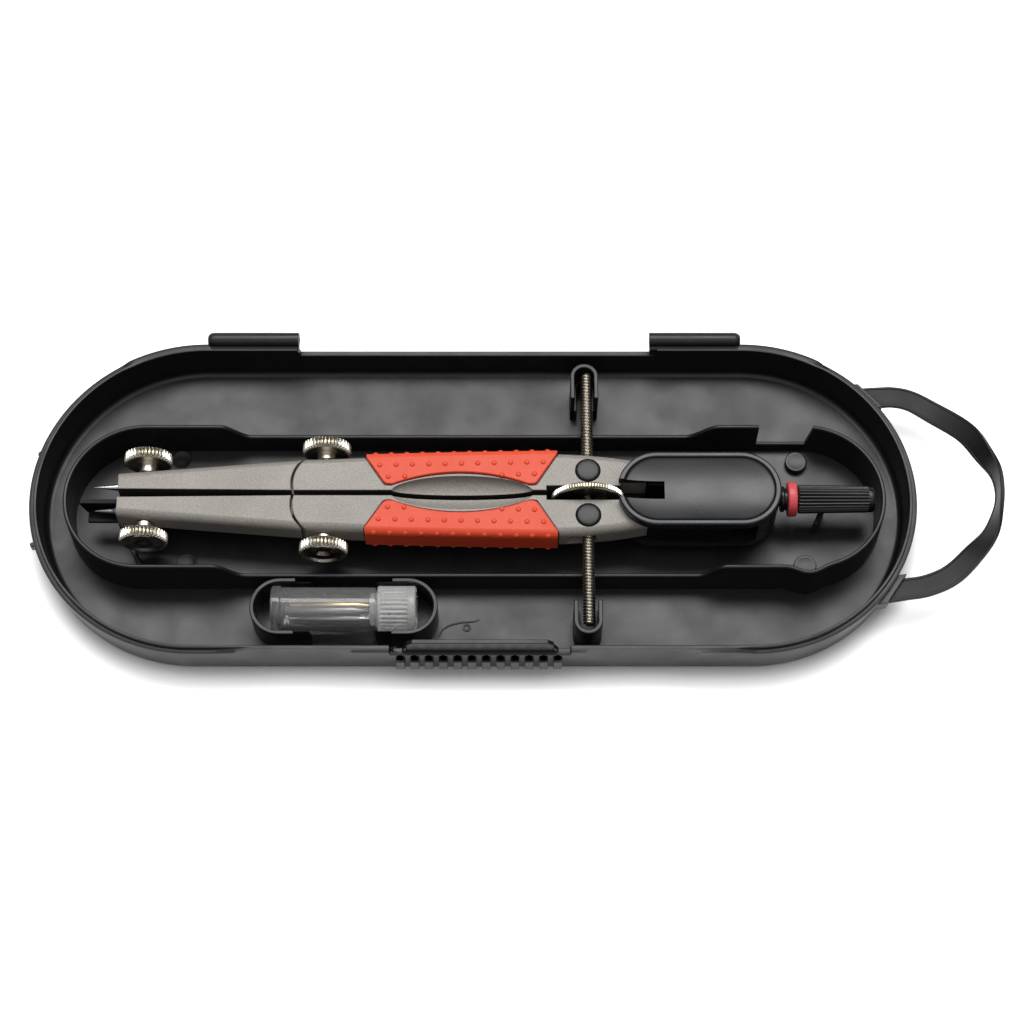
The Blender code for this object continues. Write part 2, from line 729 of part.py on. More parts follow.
def spare_tube():
    length = TUBE_X[1] - TUBE_X[0]
    flange = TUBE_FLANGE_END - TUBE_X[0]
    origin = (TUBE_X[0], TUBE_Y, TUBE_Z)
    outside = [(0, TUBE_FLANGE), (flange, TUBE_FLANGE), (flange, TUBE_RADIUS)]
    body = lathe("spare_tube", outside + [(length, TUBE_RADIUS)], origin, (1, 0, 0), 28)
    bore = [(TUBE_BASE, TUBE_BORE), (length + 1 * MM, TUBE_BORE)]
    cut(body, lathe("bore", bore, origin, (1, 0, 0), 28))
    return body


def tube_cap():
    start = TUBE_X[1] + GAP
    origin = (start - CAP_PLUG_LENGTH, TUBE_Y, TUBE_Z)
    end = CAP_END - start + CAP_PLUG_LENGTH
    profile = [(0, CAP_PLUG), (CAP_PLUG_LENGTH, CAP_PLUG), (CAP_PLUG_LENGTH, CAP_RADIUS)]
    profile += [(end - 0.4 * MM, CAP_RADIUS), (end, CAP_RADIUS - 0.4 * MM)]
    return lathe("tube_cap", profile, origin, (1, 0, 0), 28)


def spare_stick(name, y, z, radius, start, end, point):
    """A spare lead or needle, lying in the tube; point is the length of its sharp end."""
    length = end - start
    profile = [(0, radius), (length - point, radius), (length, 0.15 * MM)]
    return lathe(name, profile, (start, TUBE_Y + y, TUBE_Z + z), (1, 0, 0), 10)


# --- Head and handle -----------------------------------------------------------------------------


def head_shell(name, sign):
    """One half of the head: a cheek plate, and half of the block behind the hinge."""
    outline = stadium(HEAD_X[0], HEAD_X[1], COMPASS_Y, HEAD_RADIUS, 14)
    face = COMPASS_Z + sign * HALF_HEAD
    cheek = COMPASS_Z + sign * (HALF_HEAD - HEAD_CHEEK)
    middle = COMPASS_Z + sign * RUNNING_GAP
    low, high = sorted((middle, face))
    shell = rounded_prism(name, outline, low, high, 0.5 * MM)
    room = [HEAD_X[0] - 1 * MM, HEAD_BACK_WALL]
    low, high = sorted((cheek, COMPASS_Z - sign * 2 * MM))
    cut(shell, box("room", (room[0], COMPASS_Y - 10 * MM, low), (room[1], COMPASS_Y + 10 * MM, high)))
    dish = inset(outline, HEAD_BORDER)
    low, high = sorted((face - sign * HEAD_DISH, face + sign * 1 * MM))
    cut(shell, prism("dish", dish, low, high))
    low = (HEAD_X[0] - 1 * MM, COMPASS_Y - HEAD_SLOT_HALF, COMPASS_Z - 7 * MM)
    high = (HEAD_SLOT_END, COMPASS_Y + HEAD_SLOT_HALF, COMPASS_Z + 7 * MM)
    cut(shell, box("wheel_slot", low, high))
    for side in (-1, 1):
        hole = [(-4.75 * MM, PIVOT_PIN_RADIUS + RUNNING_GAP), (4.75 * MM, PIVOT_PIN_RADIUS + RUNNING_GAP)]
        cut(shell, lathe("pin_hole", hole, at(PIVOT[0], side * PIVOT[1]), (0, 0, 1), 20))
    wide = [(along, radius + GAP) for along, radius in stem_profile()[:4]]
    wide[0] = (wide[0][0] - GAP, wide[0][1])
    wide[1] = (wide[1][0] + GAP, wide[1][1])
    wide[2] = (wide[1][0], wide[2][1])
    cut(shell, lathe("stem_room", wide, at(0, 0), (1, 0, 0), 24))
    return shell


def stem_profile():
    """The stem from its flange inside the head to its end inside the grip."""
    return [
        (61.3 * MM, 2.4 * MM),
        (62.8 * MM, 2.4 * MM),
        (62.8 * MM, STEM_RADIUS),
        (65.7 * MM, STEM_RADIUS),
        (65.7 * MM, NECK_RADIUS),
        (66.8 * MM, NECK_RADIUS),
        (66.8 * MM, STEM_RADIUS),
        (83.0 * MM, STEM_RADIUS),
    ]


def handle_stem():
    return lathe("handle_stem", stem_profile(), at(0, 0), (1, 0, 0), 24)


def colour_ring():
    length = RING_X[1] - RING_X[0]
    profile = [(0, RING_RADIUS - 0.2 * MM), (0.3 * MM, RING_RADIUS)]
    profile += [(length - 0.3 * MM, RING_RADIUS), (length, RING_RADIUS - 0.2 * MM)]
    ring = lathe("colour_ring", profile, at(RING_X[0], 0), (1, 0, 0), 32)
    hole = [(-1 * MM, STEM_RADIUS + GAP), (length + 1 * MM, STEM_RADIUS + GAP)]
    cut(ring, lathe("hole", hole, at(RING_X[0], 0), (1, 0, 0), 24))
    return ring


def handle_grip():
    """The grip: a star-shaped prism along X, so that it is grooved all round."""
    start = RING_X[1] + GAP
    middle = at(0, 0)
    loops = []
    stations = (
        (start, 0.15 * MM),
        (start + 0.4 * MM, 0),
        (GRIP_END - 0.6 * MM, 0),
        (GRIP_END, 0.5 * MM),
    )
    for x, shrink in stations:
        ring = []
        for i in range(2 * GRIP_GROOVES):
            angle = math.pi * i / GRIP_GROOVES
            radius = GRIP_RADIUS - shrink - (GRIP_GROOVE_DEPTH if i % 2 else 0)
            ring.append((x, middle.y + radius * math.cos(angle), middle.z + radius * math.sin(angle)))
        loops.append(ring)
    grip = loft("handle_grip", loops)
    hole = [(-1 * MM, STEM_RADIUS + GAP), (83.0 * MM - start + GAP, STEM_RADIUS + GAP)]
    cut(grip, lathe("hole", hole, at(start, 0), (1, 0, 0), 24))
    return grip


def pivot_pin(name, side):
    half = 4.6 * MM
    profile = [(-half, PIVOT_PIN_RADIUS), (half, PIVOT_PIN_RADIUS)]
    return lathe(name, profile, at(PIVOT[0], side * PIVOT[1]), (0, 0, 1), 20)


def tongue_outline(start, low, high):
    """The tongue that joins the plastic root to the painted leg."""
    return [(start, low), (39 * MM, low), (39 * MM, high), (start, high)]


def hinge_root(name, side):
    """The black root of a leg: it turns on the pivot pin between the cheeks of the head."""
    outline = [(ROOT_FACE, 1.9 * MM), (44.0 * MM, 1.4 * MM)]
    outline += arc(PIVOT, ROOT_RADIUS, -110, 10, 8)
    outline += arc((52.3 * MM, 4.0 * MM), 4.3 * MM, 10, 90, 6)
    outline += [(44.0 * MM, 8.2 * MM), (ROOT_FACE, 7.4 * MM)]
    low, high = COMPASS_Z - HALF_ROOT, COMPASS_Z + HALF_ROOT
    root = prism(name, on_leg(outline, side), low, high)
    tongue = on_leg(tongue_outline(33.6 * MM, 3.4 * MM, 6.4 * MM), side)
    add(root, prism("tongue", tongue, COMPASS_Z - 1.2 * MM, COMPASS_Z + 1.2 * MM))
    hole = [(-4 * MM, PIVOT_PIN_RADIUS + RUNNING_GAP), (4 * MM, PIVOT_PIN_RADIUS + RUNNING_GAP)]
    cut(root, lathe("pin_hole", hole, at(PIVOT[0], side * PIVOT[1]), (0, 0, 1), 20))
    return root


# --- Legs ----------------------------------------------------------------------------------------


def knee_arc(radius, steps=10):
    """The rounded knee end, from the inner side of the leg to its outer side."""
    low = 180 + math.degrees(math.asin((KNEE[1] - LEG_INNER) / radius))
    high = 180 - math.degrees(math.asin((KNEE_OUTER - KNEE[1]) / radius))
    return arc(KNEE, radius, low, high, steps)


def upper_leg_outline():
    outline = knee_arc(KNEE_RADIUS)
    outline += [(-23 * MM, 8.75 * MM), (-2 * MM, 9.3 * MM), (18 * MM, 9.6 * MM)]
    outline += [(24.6 * MM, 9.25 * MM), (31 * MM, 8.55 * MM), (37.0 * MM, 7.5 * MM)]
    outline += [(37.0 * MM, WHEEL_NOTCH[1]), (WHEEL_NOTCH[0], WHEEL_NOTCH[1])]
    outline += [(WHEEL_NOTCH[0], LEG_INNER)]
    return outline


def pad_outline(grow=0.0):
    """The grip pad, seen from above; grow widens it on every side but the outer one."""
    left, right = -22.8 * MM - grow, 18.0 * MM + grow
    low_left, low_right = -18.6 * MM - grow, 13.3 * MM + grow
    chord = (low_left + 1.6 * MM, low_right - 1.6 * MM)
    foot = 1.9 * MM - grow
    rise = 2.75 * MM
    half = (chord[1] - chord[0]) / 2
    radius = (half * half + rise * rise) / (2 * rise)
    middle = ((chord[0] + chord[1]) / 2, foot + rise - radius)
    sweep = math.degrees(math.asin(half / radius))
    outline = [(left, 7.9 * MM), (low_left, foot + 0.6 * MM), (low_left + 0.6 * MM, foot)]
    outline += arc(middle, radius, 90 + sweep, 90 - sweep, 10)
    outline += [(low_right - 0.6 * MM, foot), (low_right, foot + 0.6 * MM), (right, 9.0 * MM)]
    outline += [(right, 10.3 * MM), (-2 * MM, 9.95 * MM), (left, 9.4 * MM)]
    return outline


def core_outline():
    """The leg inside the pad: it fills the pad's outline but for the outer skin."""
    outer = [(25 * MM, 8.9 * MM), (18 * MM, 9.0 * MM), (-2 * MM, 8.65 * MM), (-30 * MM, 8.0 * MM)]
    return [(-30 * MM, 0), (25 * MM, 0)] + outer


def finger_recess(side, face):
    """A cutter for the hollow between the pads, in the upper or the lower face."""
    bm = bmesh.new()
    bmesh.ops.create_uvsphere(bm, u_segments=28, v_segments=10, radius=1.0)
    bmesh.ops.scale(bm, vec=(15.2 * MM, 3.9 * MM, 1.2 * MM), verts=bm.verts)
    bmesh.ops.translate(bm, vec=at(-2.3 * MM, 0, face * HALF_LEG), verts=bm.verts)
    return new_object("finger_recess", bm)


def fan(centre, half, reach, start, end):
    """A slot outline whose far end swings from the start to the end angle, in degrees."""
    def spoke(angle, length):
        turn = math.radians(angle)
        return Vector((math.cos(turn), math.sin(turn))) * length

    middle = Vector(centre)
    first = middle + spoke(start - 90, half)
    points = [first + spoke(start, reach), first]
    round_end = arc(centre, half, start - 90, end - 270, 8)
    points += [Vector(point) for point in round_end[1:-1]]
    last = middle + spoke(end + 90, half)
    points += [last, last + spoke(end, reach)]
    points += [middle + spoke((start + end) / 2, reach * 1.12)]
    return [tuple(point) for point in points]


def upper_leg(name, side):
    low, high = COMPASS_Z - HALF_LEG, COMPASS_Z + HALF_LEG
    leg = rounded_prism(name, on_leg(upper_leg_outline(), side), low, high, LEG_ROUND * 0.6)
    pocket = prism("pocket", on_leg(pad_outline(0.25 * MM), side), low - 1 * MM, high + 1 * MM)
    core = on_leg(core_outline(), side)
    cut(pocket, prism("core", core, COMPASS_Z - PAD_CORE, COMPASS_Z + PAD_CORE))
    cut(leg, pocket)
    cut(leg, finger_recess(side, 1), finger_recess(side, -1))
    knee_slot = fan(KNEE, TONGUE_RADIUS + GAP, 12 * MM, 180, 180 + math.degrees(SPREAD))
    cut(leg, prism("slot", on_leg(knee_slot, side), COMPASS_Z - KNEE_SLOT, COMPASS_Z + KNEE_SLOT))
    pin_room = [(-5 * MM, KNEE_PIN_RADIUS + RUNNING_GAP), (2.6 * MM, KNEE_PIN_RADIUS + RUNNING_GAP)]
    cut(leg, lathe("pin_hole", pin_room, at(KNEE[0], side * KNEE[1]), (0, 0, 1), 16))
    nut_hole = [(-5 * MM, NUT_RADIUS + GAP / 2), (5 * MM, NUT_RADIUS + GAP / 2)]
    cut(leg, lathe("nut_hole", nut_hole, at(NUT_X, side * NUT_Y), (0, 0, 1), 24))
    room = SPINDLE_RADIUS + GAP
    for start in (90, 270):
        spindle_slot = fan((NUT_X, NUT_Y), room, 7 * MM, start, start + math.degrees(SPREAD))
        cut(leg, prism("slot", on_leg(spindle_slot, side), COMPASS_Z - room, COMPASS_Z + room))
    screw_hole = [(7.0 * MM, SCREW_SHANK + GAP), (12 * MM, SCREW_SHANK + GAP)]
    cut(leg, lathe("screw_hole", screw_hole, at(KNEE_SCREW_X, 0), (0, side, 0), 16))
    tongue = on_leg(tongue_outline(33.2 * MM, 3.1 * MM, 6.7 * MM), side)
    cut(leg, prism("tongue_room", tongue, COMPASS_Z - 1.5 * MM, COMPASS_Z + 1.5 * MM))
    return leg


def grip_pad(name, side):
    top = HALF_LEG + PAD_PROUD
    outline = on_leg(pad_outline(), side)
    pad = rounded_prism(name, outline, COMPASS_Z - top, COMPASS_Z + top, 0.5 * MM)
    reach = PAD_CORE + 0.25 * MM
    core = [(x, y + 0.25 * MM) for x, y in core_outline()]
    cut(pad, prism("core", on_leg(core, side), COMPASS_Z - reach, COMPASS_Z + reach))
    return pad


def lower_leg(name, side, bore_radius, bore_end):
    """A lower leg: its concave end rides round the knee, and its tongue holds the knee pin."""
    outline = knee_arc(KNEE_SEAT)
    outline += [(TIP_X, TIP_OUTER), (TIP_X, TIP_INNER)]
    low, high = COMPASS_Z - HALF_LEG, COMPASS_Z + HALF_LEG
    leg = rounded_prism(name, on_leg(outline, side), low, high, LEG_ROUND * 0.6)
    tongue = arc(KNEE, TONGUE_RADIUS, 90, -90, 10)
    tongue += [(-41 * MM, KNEE[1] - TONGUE_RADIUS), (-41 * MM, KNEE[1] + TONGUE_RADIUS)]
    add(leg, prism("tongue", on_leg(tongue, side), COMPASS_Z - TONGUE_HALF, COMPASS_Z + TONGUE_HALF))
    hole = KNEE_PIN_RADIUS + RUNNING_GAP
    pin_hole = [(-5 * MM, hole), (5 * MM, hole)]
    cut(leg, lathe("pin_hole", pin_hole, at(KNEE[0], side * KNEE[1]), (0, 0, 1), 16))
    bore = [(TIP_X - 1 * MM, bore_radius), (bore_end, bore_radius)]
    cut(leg, lathe("bore", bore, at(0, side * POINT_Y), (1, 0, 0), 16))
    screw_hole = [(POINT_Y + 0.5 * MM, SCREW_SHANK + GAP), (8 * MM, SCREW_SHANK + GAP)]
    cut(leg, lathe("screw_hole", screw_hole, at(TIP_SCREW_X, 0), (0, side, 0), 16))
    return leg


def knee_pin(name, side):
    profile = [(-3.4 * MM, KNEE_PIN_RADIUS), (2.4 * MM, KNEE_PIN_RADIUS)]
    return lathe(name, profile, at(KNEE[0], side * KNEE[1]), (0, 0, 1), 16)


def thumb_screw(name, x, side, shank_end, neck, face):
    """A knurled thumb screw. Its neck starts, and its head's inner face is, so far from the axis."""
    end = face + SCREW_THICK
    profile = [
        (shank_end, SCREW_SHANK),
        (neck, SCREW_SHANK),
        (neck, SCREW_NECK),
        (face + 0.5 * MM, SCREW_NECK),
        (face + 0.5 * MM, SCREW_RADIUS - 1.2 * MM),
        (face, SCREW_RADIUS - 0.6 * MM),
        (face + 0.25 * MM, SCREW_RADIUS),
        (end - 0.6 * MM, SCREW_RADIUS),
        (end - 0.35 * MM, SCREW_RADIUS - 0.6 * MM),
        (end, SCREW_RADIUS - 1.4 * MM),
        (end - 0.2 * MM, SCREW_RADIUS - 3.6 * MM),
    ]
    return lathe(name, profile, at(x, 0), (0, side, 0), 36)


def needle():
    length = NEEDLE_END - NEEDLE_TIP
    cone = NEEDLE_SHOULDER - NEEDLE_TIP
    profile = [(0, 0.06 * MM), (cone, NEEDLE_RADIUS), (length, NEEDLE_RADIUS)]
    return lathe("needle", profile, at(NEEDLE_TIP, POINT_Y), (1, 0, 0), 14)


def lead():
    length = LEAD_END - LEAD_TIP
    cone = LEAD_SHOULDER - LEAD_TIP
    profile = [(0, 0.1 * MM), (cone, LEAD_RADIUS), (length, LEAD_RADIUS)]
    return lathe("lead", profile, at(LEAD_TIP, -POINT_Y), (1, 0, 0), 14)


def guard_box(name, x, y, z, grow=0.0):
    low = at(x[0] - grow, -y[1] - grow, z[0] - grow)
    high = at(x[1] + grow, -y[0] + grow, z[1] + grow)
    return box(name, low, high)


def guard_tongue(name, grow=0.0):
    """The tongue of the guard, which plugs into the end of the leg below the lead."""
    z = (GUARD_Z[0] + 0.2 * MM, GUARD_Z[1] - 0.05 * MM)
    return guard_box(name, (GUARD_X[1] - 1 * MM, GUARD_TONGUE), (1.9 * MM, 3.6 * MM), z, grow)


def lead_guard():
    slant = 1.3 * MM
    section = [(GUARD_X[0] + slant, GUARD_Z[0]), (GUARD_X[1], GUARD_Z[0])]
    section += [(GUARD_X[1], GUARD_TOP), (GUARD_X[0], GUARD_TOP)]
    sides = [at(0, -GUARD_Y[1]).y, at(0, -GUARD_Y[0]).y]
    wall = [[(x, y, COMPASS_Z + z) for x, z in section] for y in sides]
    guard = loft("lead_guard", wall)
    shelf_x = (GUARD_X[0] + slant * 1.2, GUARD_X[1])
    shelf = guard_box("shelf", shelf_x, (GUARD_Y[0] + 0.2 * MM, GUARD_SHELF), GUARD_Z)
    add(guard, shelf, guard_tongue("tongue"))
    return guard


# --- Spindle -------------------------------------------------------------------------------------


def trunnion_nut(name, side):
    """A round nut that turns in its leg; the spindle runs through it."""
    top = HALF_LEG + 0.35 * MM
    profile = [(-top, NUT_RADIUS - 0.4 * MM), (-top + 0.35 * MM, NUT_RADIUS)]
    profile += [(top - 0.35 * MM, NUT_RADIUS), (top, NUT_RADIUS - 0.4 * MM)]
    nut = lathe(name, profile, at(NUT_X, side * NUT_Y), (0, 0, 1), 24)
    bore = [(-5 * MM, SPINDLE_RADIUS + RUNNING_GAP), (5 * MM, SPINDLE_RADIUS + RUNNING_GAP)]
    cut(nut, lathe("bore", bore, at(NUT_X, side * NUT_Y), (0, 1, 0), 20))
    return nut


def spindle():
    half, chamfer = SPINDLE_HALF, 0.5 * MM
    profile = [(-half, SPINDLE_RADIUS - chamfer), (-half + chamfer, SPINDLE_RADIUS)]
    profile += [(half - chamfer, SPINDLE_RADIUS), (half, SPINDLE_RADIUS - chamfer)]
    return lathe("spindle", profile, at(NUT_X, SPINDLE_SHIFT), (0, 1, 0), 20)


def centre_wheel():
    half = WHEEL_THICK / 2
    profile = [
        (-half, 2.4 * MM),
        (-half + 0.25 * MM, WHEEL_RADIUS - 1.8 * MM),
        (-half, WHEEL_RADIUS - 1.0 * MM),
        (-half + 0.2 * MM, WHEEL_RADIUS),
        (half - 0.2 * MM, WHEEL_RADIUS),
        (half, WHEEL_RADIUS - 1.0 * MM),
        (half - 0.25 * MM, WHEEL_RADIUS - 1.8 * MM),
        (half, 2.4 * MM),
    ]
    wheel = lathe("centre_wheel", profile, at(NUT_X, WHEEL_SHIFT), (0, 1, 0), 48)
    bore = [(-3 * MM, SPINDLE_RADIUS + RUNNING_GAP), (3 * MM, SPINDLE_RADIUS + RUNNING_GAP)]
    cut(wheel, lathe("bore", bore, at(NUT_X, WHEEL_SHIFT), (0, 1, 0), 20))
    return wheel


# --- Assembly ------------------------------------------------------------------------------------


def finishes():
    return {
        "case": material("case_black_plastic", (0.020, 0.022, 0.025), 0.45),
        "strap": material("strap_black_plastic", (0.022, 0.023, 0.026), 0.5),
        "head": material("head_black_plastic", (0.014, 0.016, 0.019), 0.35),
        "leg": material("leg_grey_paint", (0.205, 0.190, 0.170), 0.42, 0.6),
        "pad": material("pad_red_rubber", (0.80, 0.085, 0.045), 0.55),
        "ring": material("ring_red", (0.55, 0.03, 0.05), 0.4),
        "nickel": material("nickel", (0.72, 0.68, 0.60), 0.22, 1.0),
        "steel": material("steel", (0.70, 0.70, 0.70), 0.2, 1.0),
        "graphite": material("graphite", (0.12, 0.12, 0.13), 0.35, 0.5),
        "tube": material("tube_clear_plastic", (0.80, 0.82, 0.83), 0.08, 0.0, 0.35),
        "cap": material("cap_frosted_plastic", (0.62, 0.63, 0.64), 0.4, 0.0, 0.75),
    }


def build_case(finish):
    frame = empty("case", (0, 0, 0))
    settle(case_tray(), frame, finish["case"])
    settle(carry_strap(), frame, finish["strap"])
    tube = empty("tube", (TUBE_X[0], TUBE_Y, TUBE_Z), frame)
    settle(spare_tube(), tube, finish["tube"])
    for name, y, z, radius, point, look in (
        ("spare_lead_1", 0.9 * MM, -2.4 * MM, 1.0 * MM, 3 * MM, "graphite"),
        ("spare_lead_2", -1.0 * MM, 1.6 * MM, 1.0 * MM, 3 * MM, "graphite"),
        ("spare_needle", -1.6 * MM, -1.6 * MM, 0.65 * MM, 4 * MM, "steel"),
    ):
        settle(spare_stick(name, y, z, radius, *SPARE_X, point), tube, finish[look])
    cap = empty("cap", (TUBE_X[1], TUBE_Y, TUBE_Z), tube)
    settle(tube_cap(), cap, finish["cap"])
    return frame


def build_head(finish, case):
    frame = empty("compass", at(HEAD_X[1], 0), case)
    settle(head_shell("head_shell_upper", 1), frame, finish["head"])
    settle(head_shell("head_shell_lower", -1), frame, finish["head"])
    settle(pivot_pin("pivot_pin_back", 1), frame, finish["steel"])
    settle(pivot_pin("pivot_pin_front", -1), frame, finish["steel"])
    settle(handle_stem(), frame, finish["head"])
    settle(colour_ring(), frame, finish["ring"])
    settle(handle_grip(), frame, finish["head"])
    return frame


def build_leg(finish, head, label, side):
    """One leg with its hinge root, pad, nut, knee, thumb screws and point."""
    leg = empty(f"leg_{label}", at(PIVOT[0], side * PIVOT[1]), head)
    settle(upper_leg(f"upper_leg_{label}", side), leg, finish["leg"])
    settle(hinge_root(f"hinge_root_{label}", side), leg, finish["head"])
    settle(grip_pad(f"grip_pad_{label}", side), leg, finish["pad"])
    settle(knee_pin(f"knee_pin_{label}", side), leg, finish["steel"])
    nut = empty(f"nut_{label}", at(NUT_X, side * NUT_Y), leg)
    settle(trunnion_nut(f"trunnion_nut_{label}", side), nut, finish["head"])
    name = f"knee_screw_{label}"
    screw = thumb_screw(name, KNEE_SCREW_X, side, 7.8 * MM, KNEE_NECK_Y, KNEE_SCREW_Y)
    settle(screw, empty(f"knee_screw_axis_{label}", at(KNEE_SCREW_X, 0), leg), finish["nickel"])
    knee = empty(f"knee_{label}", at(KNEE[0], side * KNEE[1]), leg)
    radius = NEEDLE_RADIUS if side > 0 else LEAD_RADIUS
    room = LEAD_END + POINT_TRAVEL + 1 * MM
    lower = lower_leg(f"lower_leg_{label}", side, radius + RUNNING_GAP, room)
    if side < 0:
        cut(lower, guard_tongue("tongue_room", 0.25 * MM))
        settle(lead_guard(), knee, finish["head"])
    settle(lower, knee, finish["leg"])
    shank_end = POINT_Y + radius + GAP
    name = f"tip_screw_{label}"
    screw = thumb_screw(name, TIP_SCREW_X, side, shank_end, TIP_NECK_Y, TIP_SCREW_Y)
    settle(screw, empty(f"tip_screw_axis_{label}", at(TIP_SCREW_X, 0), knee), finish["nickel"])
    point = empty(f"point_{label}", at(TIP_X, side * POINT_Y), knee)
    if side > 0:
        settle(needle(), point, finish["steel"])
    else:
        settle(lead(), point, finish["graphite"])
    return nut


def build_spindle(finish, nut):
    frame = empty("spindle_frame", at(NUT_X, SPINDLE_SHIFT), nut)
    settle(spindle(), frame, finish["nickel"])
    settle(centre_wheel(), empty("wheel_axis", at(NUT_X, SPINDLE_SHIFT), frame), finish["nickel"])


def main():
    clear_scene()
    finish = finishes()
    case = build_case(finish)
    head = build_head(finish, case)
    back_nut = build_leg(finish, head, "back", 1)
    build_leg(finish, head, "front", -1)
    build_spindle(finish, back_nut)


main()
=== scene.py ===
import math

import bmesh
import bpy
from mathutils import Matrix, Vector


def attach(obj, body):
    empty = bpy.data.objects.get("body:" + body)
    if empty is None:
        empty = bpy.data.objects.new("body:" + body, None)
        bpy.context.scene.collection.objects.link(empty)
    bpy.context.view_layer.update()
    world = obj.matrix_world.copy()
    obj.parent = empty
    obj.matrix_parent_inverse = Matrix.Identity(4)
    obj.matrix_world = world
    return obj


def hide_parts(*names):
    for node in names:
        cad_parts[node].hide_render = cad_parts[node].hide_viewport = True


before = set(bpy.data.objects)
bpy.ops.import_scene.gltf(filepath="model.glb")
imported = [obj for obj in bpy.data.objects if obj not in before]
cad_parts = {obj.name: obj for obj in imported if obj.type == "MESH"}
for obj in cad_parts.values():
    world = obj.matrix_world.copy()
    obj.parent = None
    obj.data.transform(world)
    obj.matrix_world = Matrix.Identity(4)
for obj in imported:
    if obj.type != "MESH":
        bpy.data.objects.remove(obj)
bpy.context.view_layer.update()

MM = 0.001
FLOOR = 2.0 * MM
COMPASS_Y = -1.1 * MM
COMPASS_Z = 11.2 * MM

# Places on the compass, in mm from its own axes. The side of each y says which leg it is on.
SPINDLE_X, NUT_Y = 24.5, 5.2
PIVOT = (52.5, 2.7)
KNEE = (-31.3, 2.4)
KNEE_SCREW_X, TIP_SCREW_X, TIP_BORE_Y = -31.6, -69.9, 2.75
LEG_HALF = 3.5  # half of a leg's thickness
LEG_ROUND, LEG_EDGE = 1.75, 0.22  # radii of a leg's outer face and of its other edges


# --- Materials ---


def remap(tree, value, low, high, to_low, to_high):
    """A node that maps low..high of a value to to_low..to_high, held at the ends."""
    node = tree.nodes.new("ShaderNodeMapRange")
    for key, number in (("From Min", low), ("From Max", high), ("To Min", to_low), ("To Max", to_high)):
        node.inputs[key].default_value = number
    tree.links.new(value, node.inputs["Value"])
    return node.outputs["Result"]


def surface(name, colour, rough, metallic=0.0, speck=0.05, speck_mm=0.6, smudge=0.05,
            grain=0.0, grain_mm=0.3, scratch=0.0, scratch_turn=0.0, dust=0.0, **fixed):
    """A Principled material whose colour, roughness and relief all vary over the surface.

    grain and scratch are heights in mm; speck, smudge and dust are shares."""
    made = bpy.data.materials.new(name)
    made.use_nodes = True
    tree = made.node_tree
    shader = tree.nodes["Principled BSDF"]
    shader.inputs["Metallic"].default_value = metallic
    for key, value in fixed.items():
        shader.inputs[key.replace("_", " ")].default_value = value
    place = tree.nodes.new("ShaderNodeTexCoord").outputs["Object"]

    def noise(size_mm, detail=2.0, vector=place):
        node = tree.nodes.new("ShaderNodeTexNoise")
        node.inputs["Scale"].default_value = 1000.0 / size_mm
        node.inputs["Detail"].default_value = detail
        tree.links.new(vector, node.inputs["Vector"])
        return node.outputs["Fac"]

    def mix(factor, first, second):
        node = tree.nodes.new("ShaderNodeMix")
        node.data_type = "RGBA"
        tree.links.new(factor, node.inputs["Factor"])
        for slot, value in (("A", first), ("B", second)):
            socket = [s for s in node.inputs if s.name == slot and s.type == "RGBA"][0]
            if isinstance(value, tuple):
                socket.default_value = (*value, 1.0)
            else:
                tree.links.new(value, socket)
        return [s for s in node.outputs if s.type == "RGBA"][0]

    low = tuple(c * (1 - speck) for c in colour)
    high = tuple(min(c * (1 + speck), 1.0) for c in colour)
    tint = mix(remap(tree, noise(speck_mm), 0.3, 0.7, 0.0, 1.0), low, high)
    if dust:
        pale = tuple(min(c + 0.25, 0.6) for c in colour)
        tint = mix(remap(tree, noise(0.9, 4.0), 0.70, 0.78, 0.0, dust), tint, pale)
    tree.links.new(tint, shader.inputs["Base Color"])
    wear = remap(tree, noise(9.0, 4.0), 0.3, 0.7, max(rough - smudge, 0.02), min(rough + smudge, 1.0))
    tree.links.new(wear, shader.inputs["Roughness"])

    normal = None
    for kind, height in (("grain", grain), ("scratch", scratch)):
        if not height:
            continue
        if kind == "grain":
            value = noise(grain_mm, 2.0)
        else:
            stretched = tree.nodes.new("ShaderNodeMapping")
            stretched.inputs["Rotation"].default_value = (0, 0, scratch_turn)
            stretched.inputs["Scale"].default_value = (0.03, 1.0, 1.0)
            tree.links.new(place, stretched.inputs["Vector"])
            value = remap(tree, noise(0.35, 3.0, stretched.outputs["Vector"]), 0.55, 0.75, 0.0, 1.0)
        bump = tree.nodes.new("ShaderNodeBump")
        bump.inputs["Strength"].default_value = 1.0
        bump.inputs["Distance"].default_value = height * MM
        tree.links.new(value, bump.inputs["Height"])
        if normal:
            tree.links.new(normal, bump.inputs["Normal"])
        normal = bump.outputs["Normal"]
    if normal:
        tree.links.new(normal, shader.inputs["Normal"])
    return made


CASE = surface("case_black_plastic", (0.0085, 0.0088, 0.0100), 0.38, speck=0.15, speck_mm=2.5, smudge=0.07,
               grain=0.005, grain_mm=0.45, scratch=0.003, scratch_turn=0.5, dust=0.05,
               Specular_IOR_Level=0.40)
NUT = surface("nut_black_plastic", (0.010, 0.0102, 0.0112), 0.42, speck=0.15, smudge=0.06, grain=0.004,
              scratch=0.002, scratch_turn=0.9, Specular_IOR_Level=0.40)
# Painted shade: a dark grey for the legs' faces in the gap between them, where shade falls.
GAP_SHADE = surface("leg_gap_painted_shade", (0.040, 0.037, 0.033), 0.6, speck=0.2, speck_mm=0.5, grain=0.003,
              Specular_IOR_Level=0.1)
STRAP = surface("strap_black_plastic", (0.0095, 0.0095, 0.0108), 0.46, speck=0.12, speck_mm=1.5,
                smudge=0.06, grain=0.003, grain_mm=0.4, scratch=0.001, scratch_turn=1.4,
                Specular_IOR_Level=0.24)
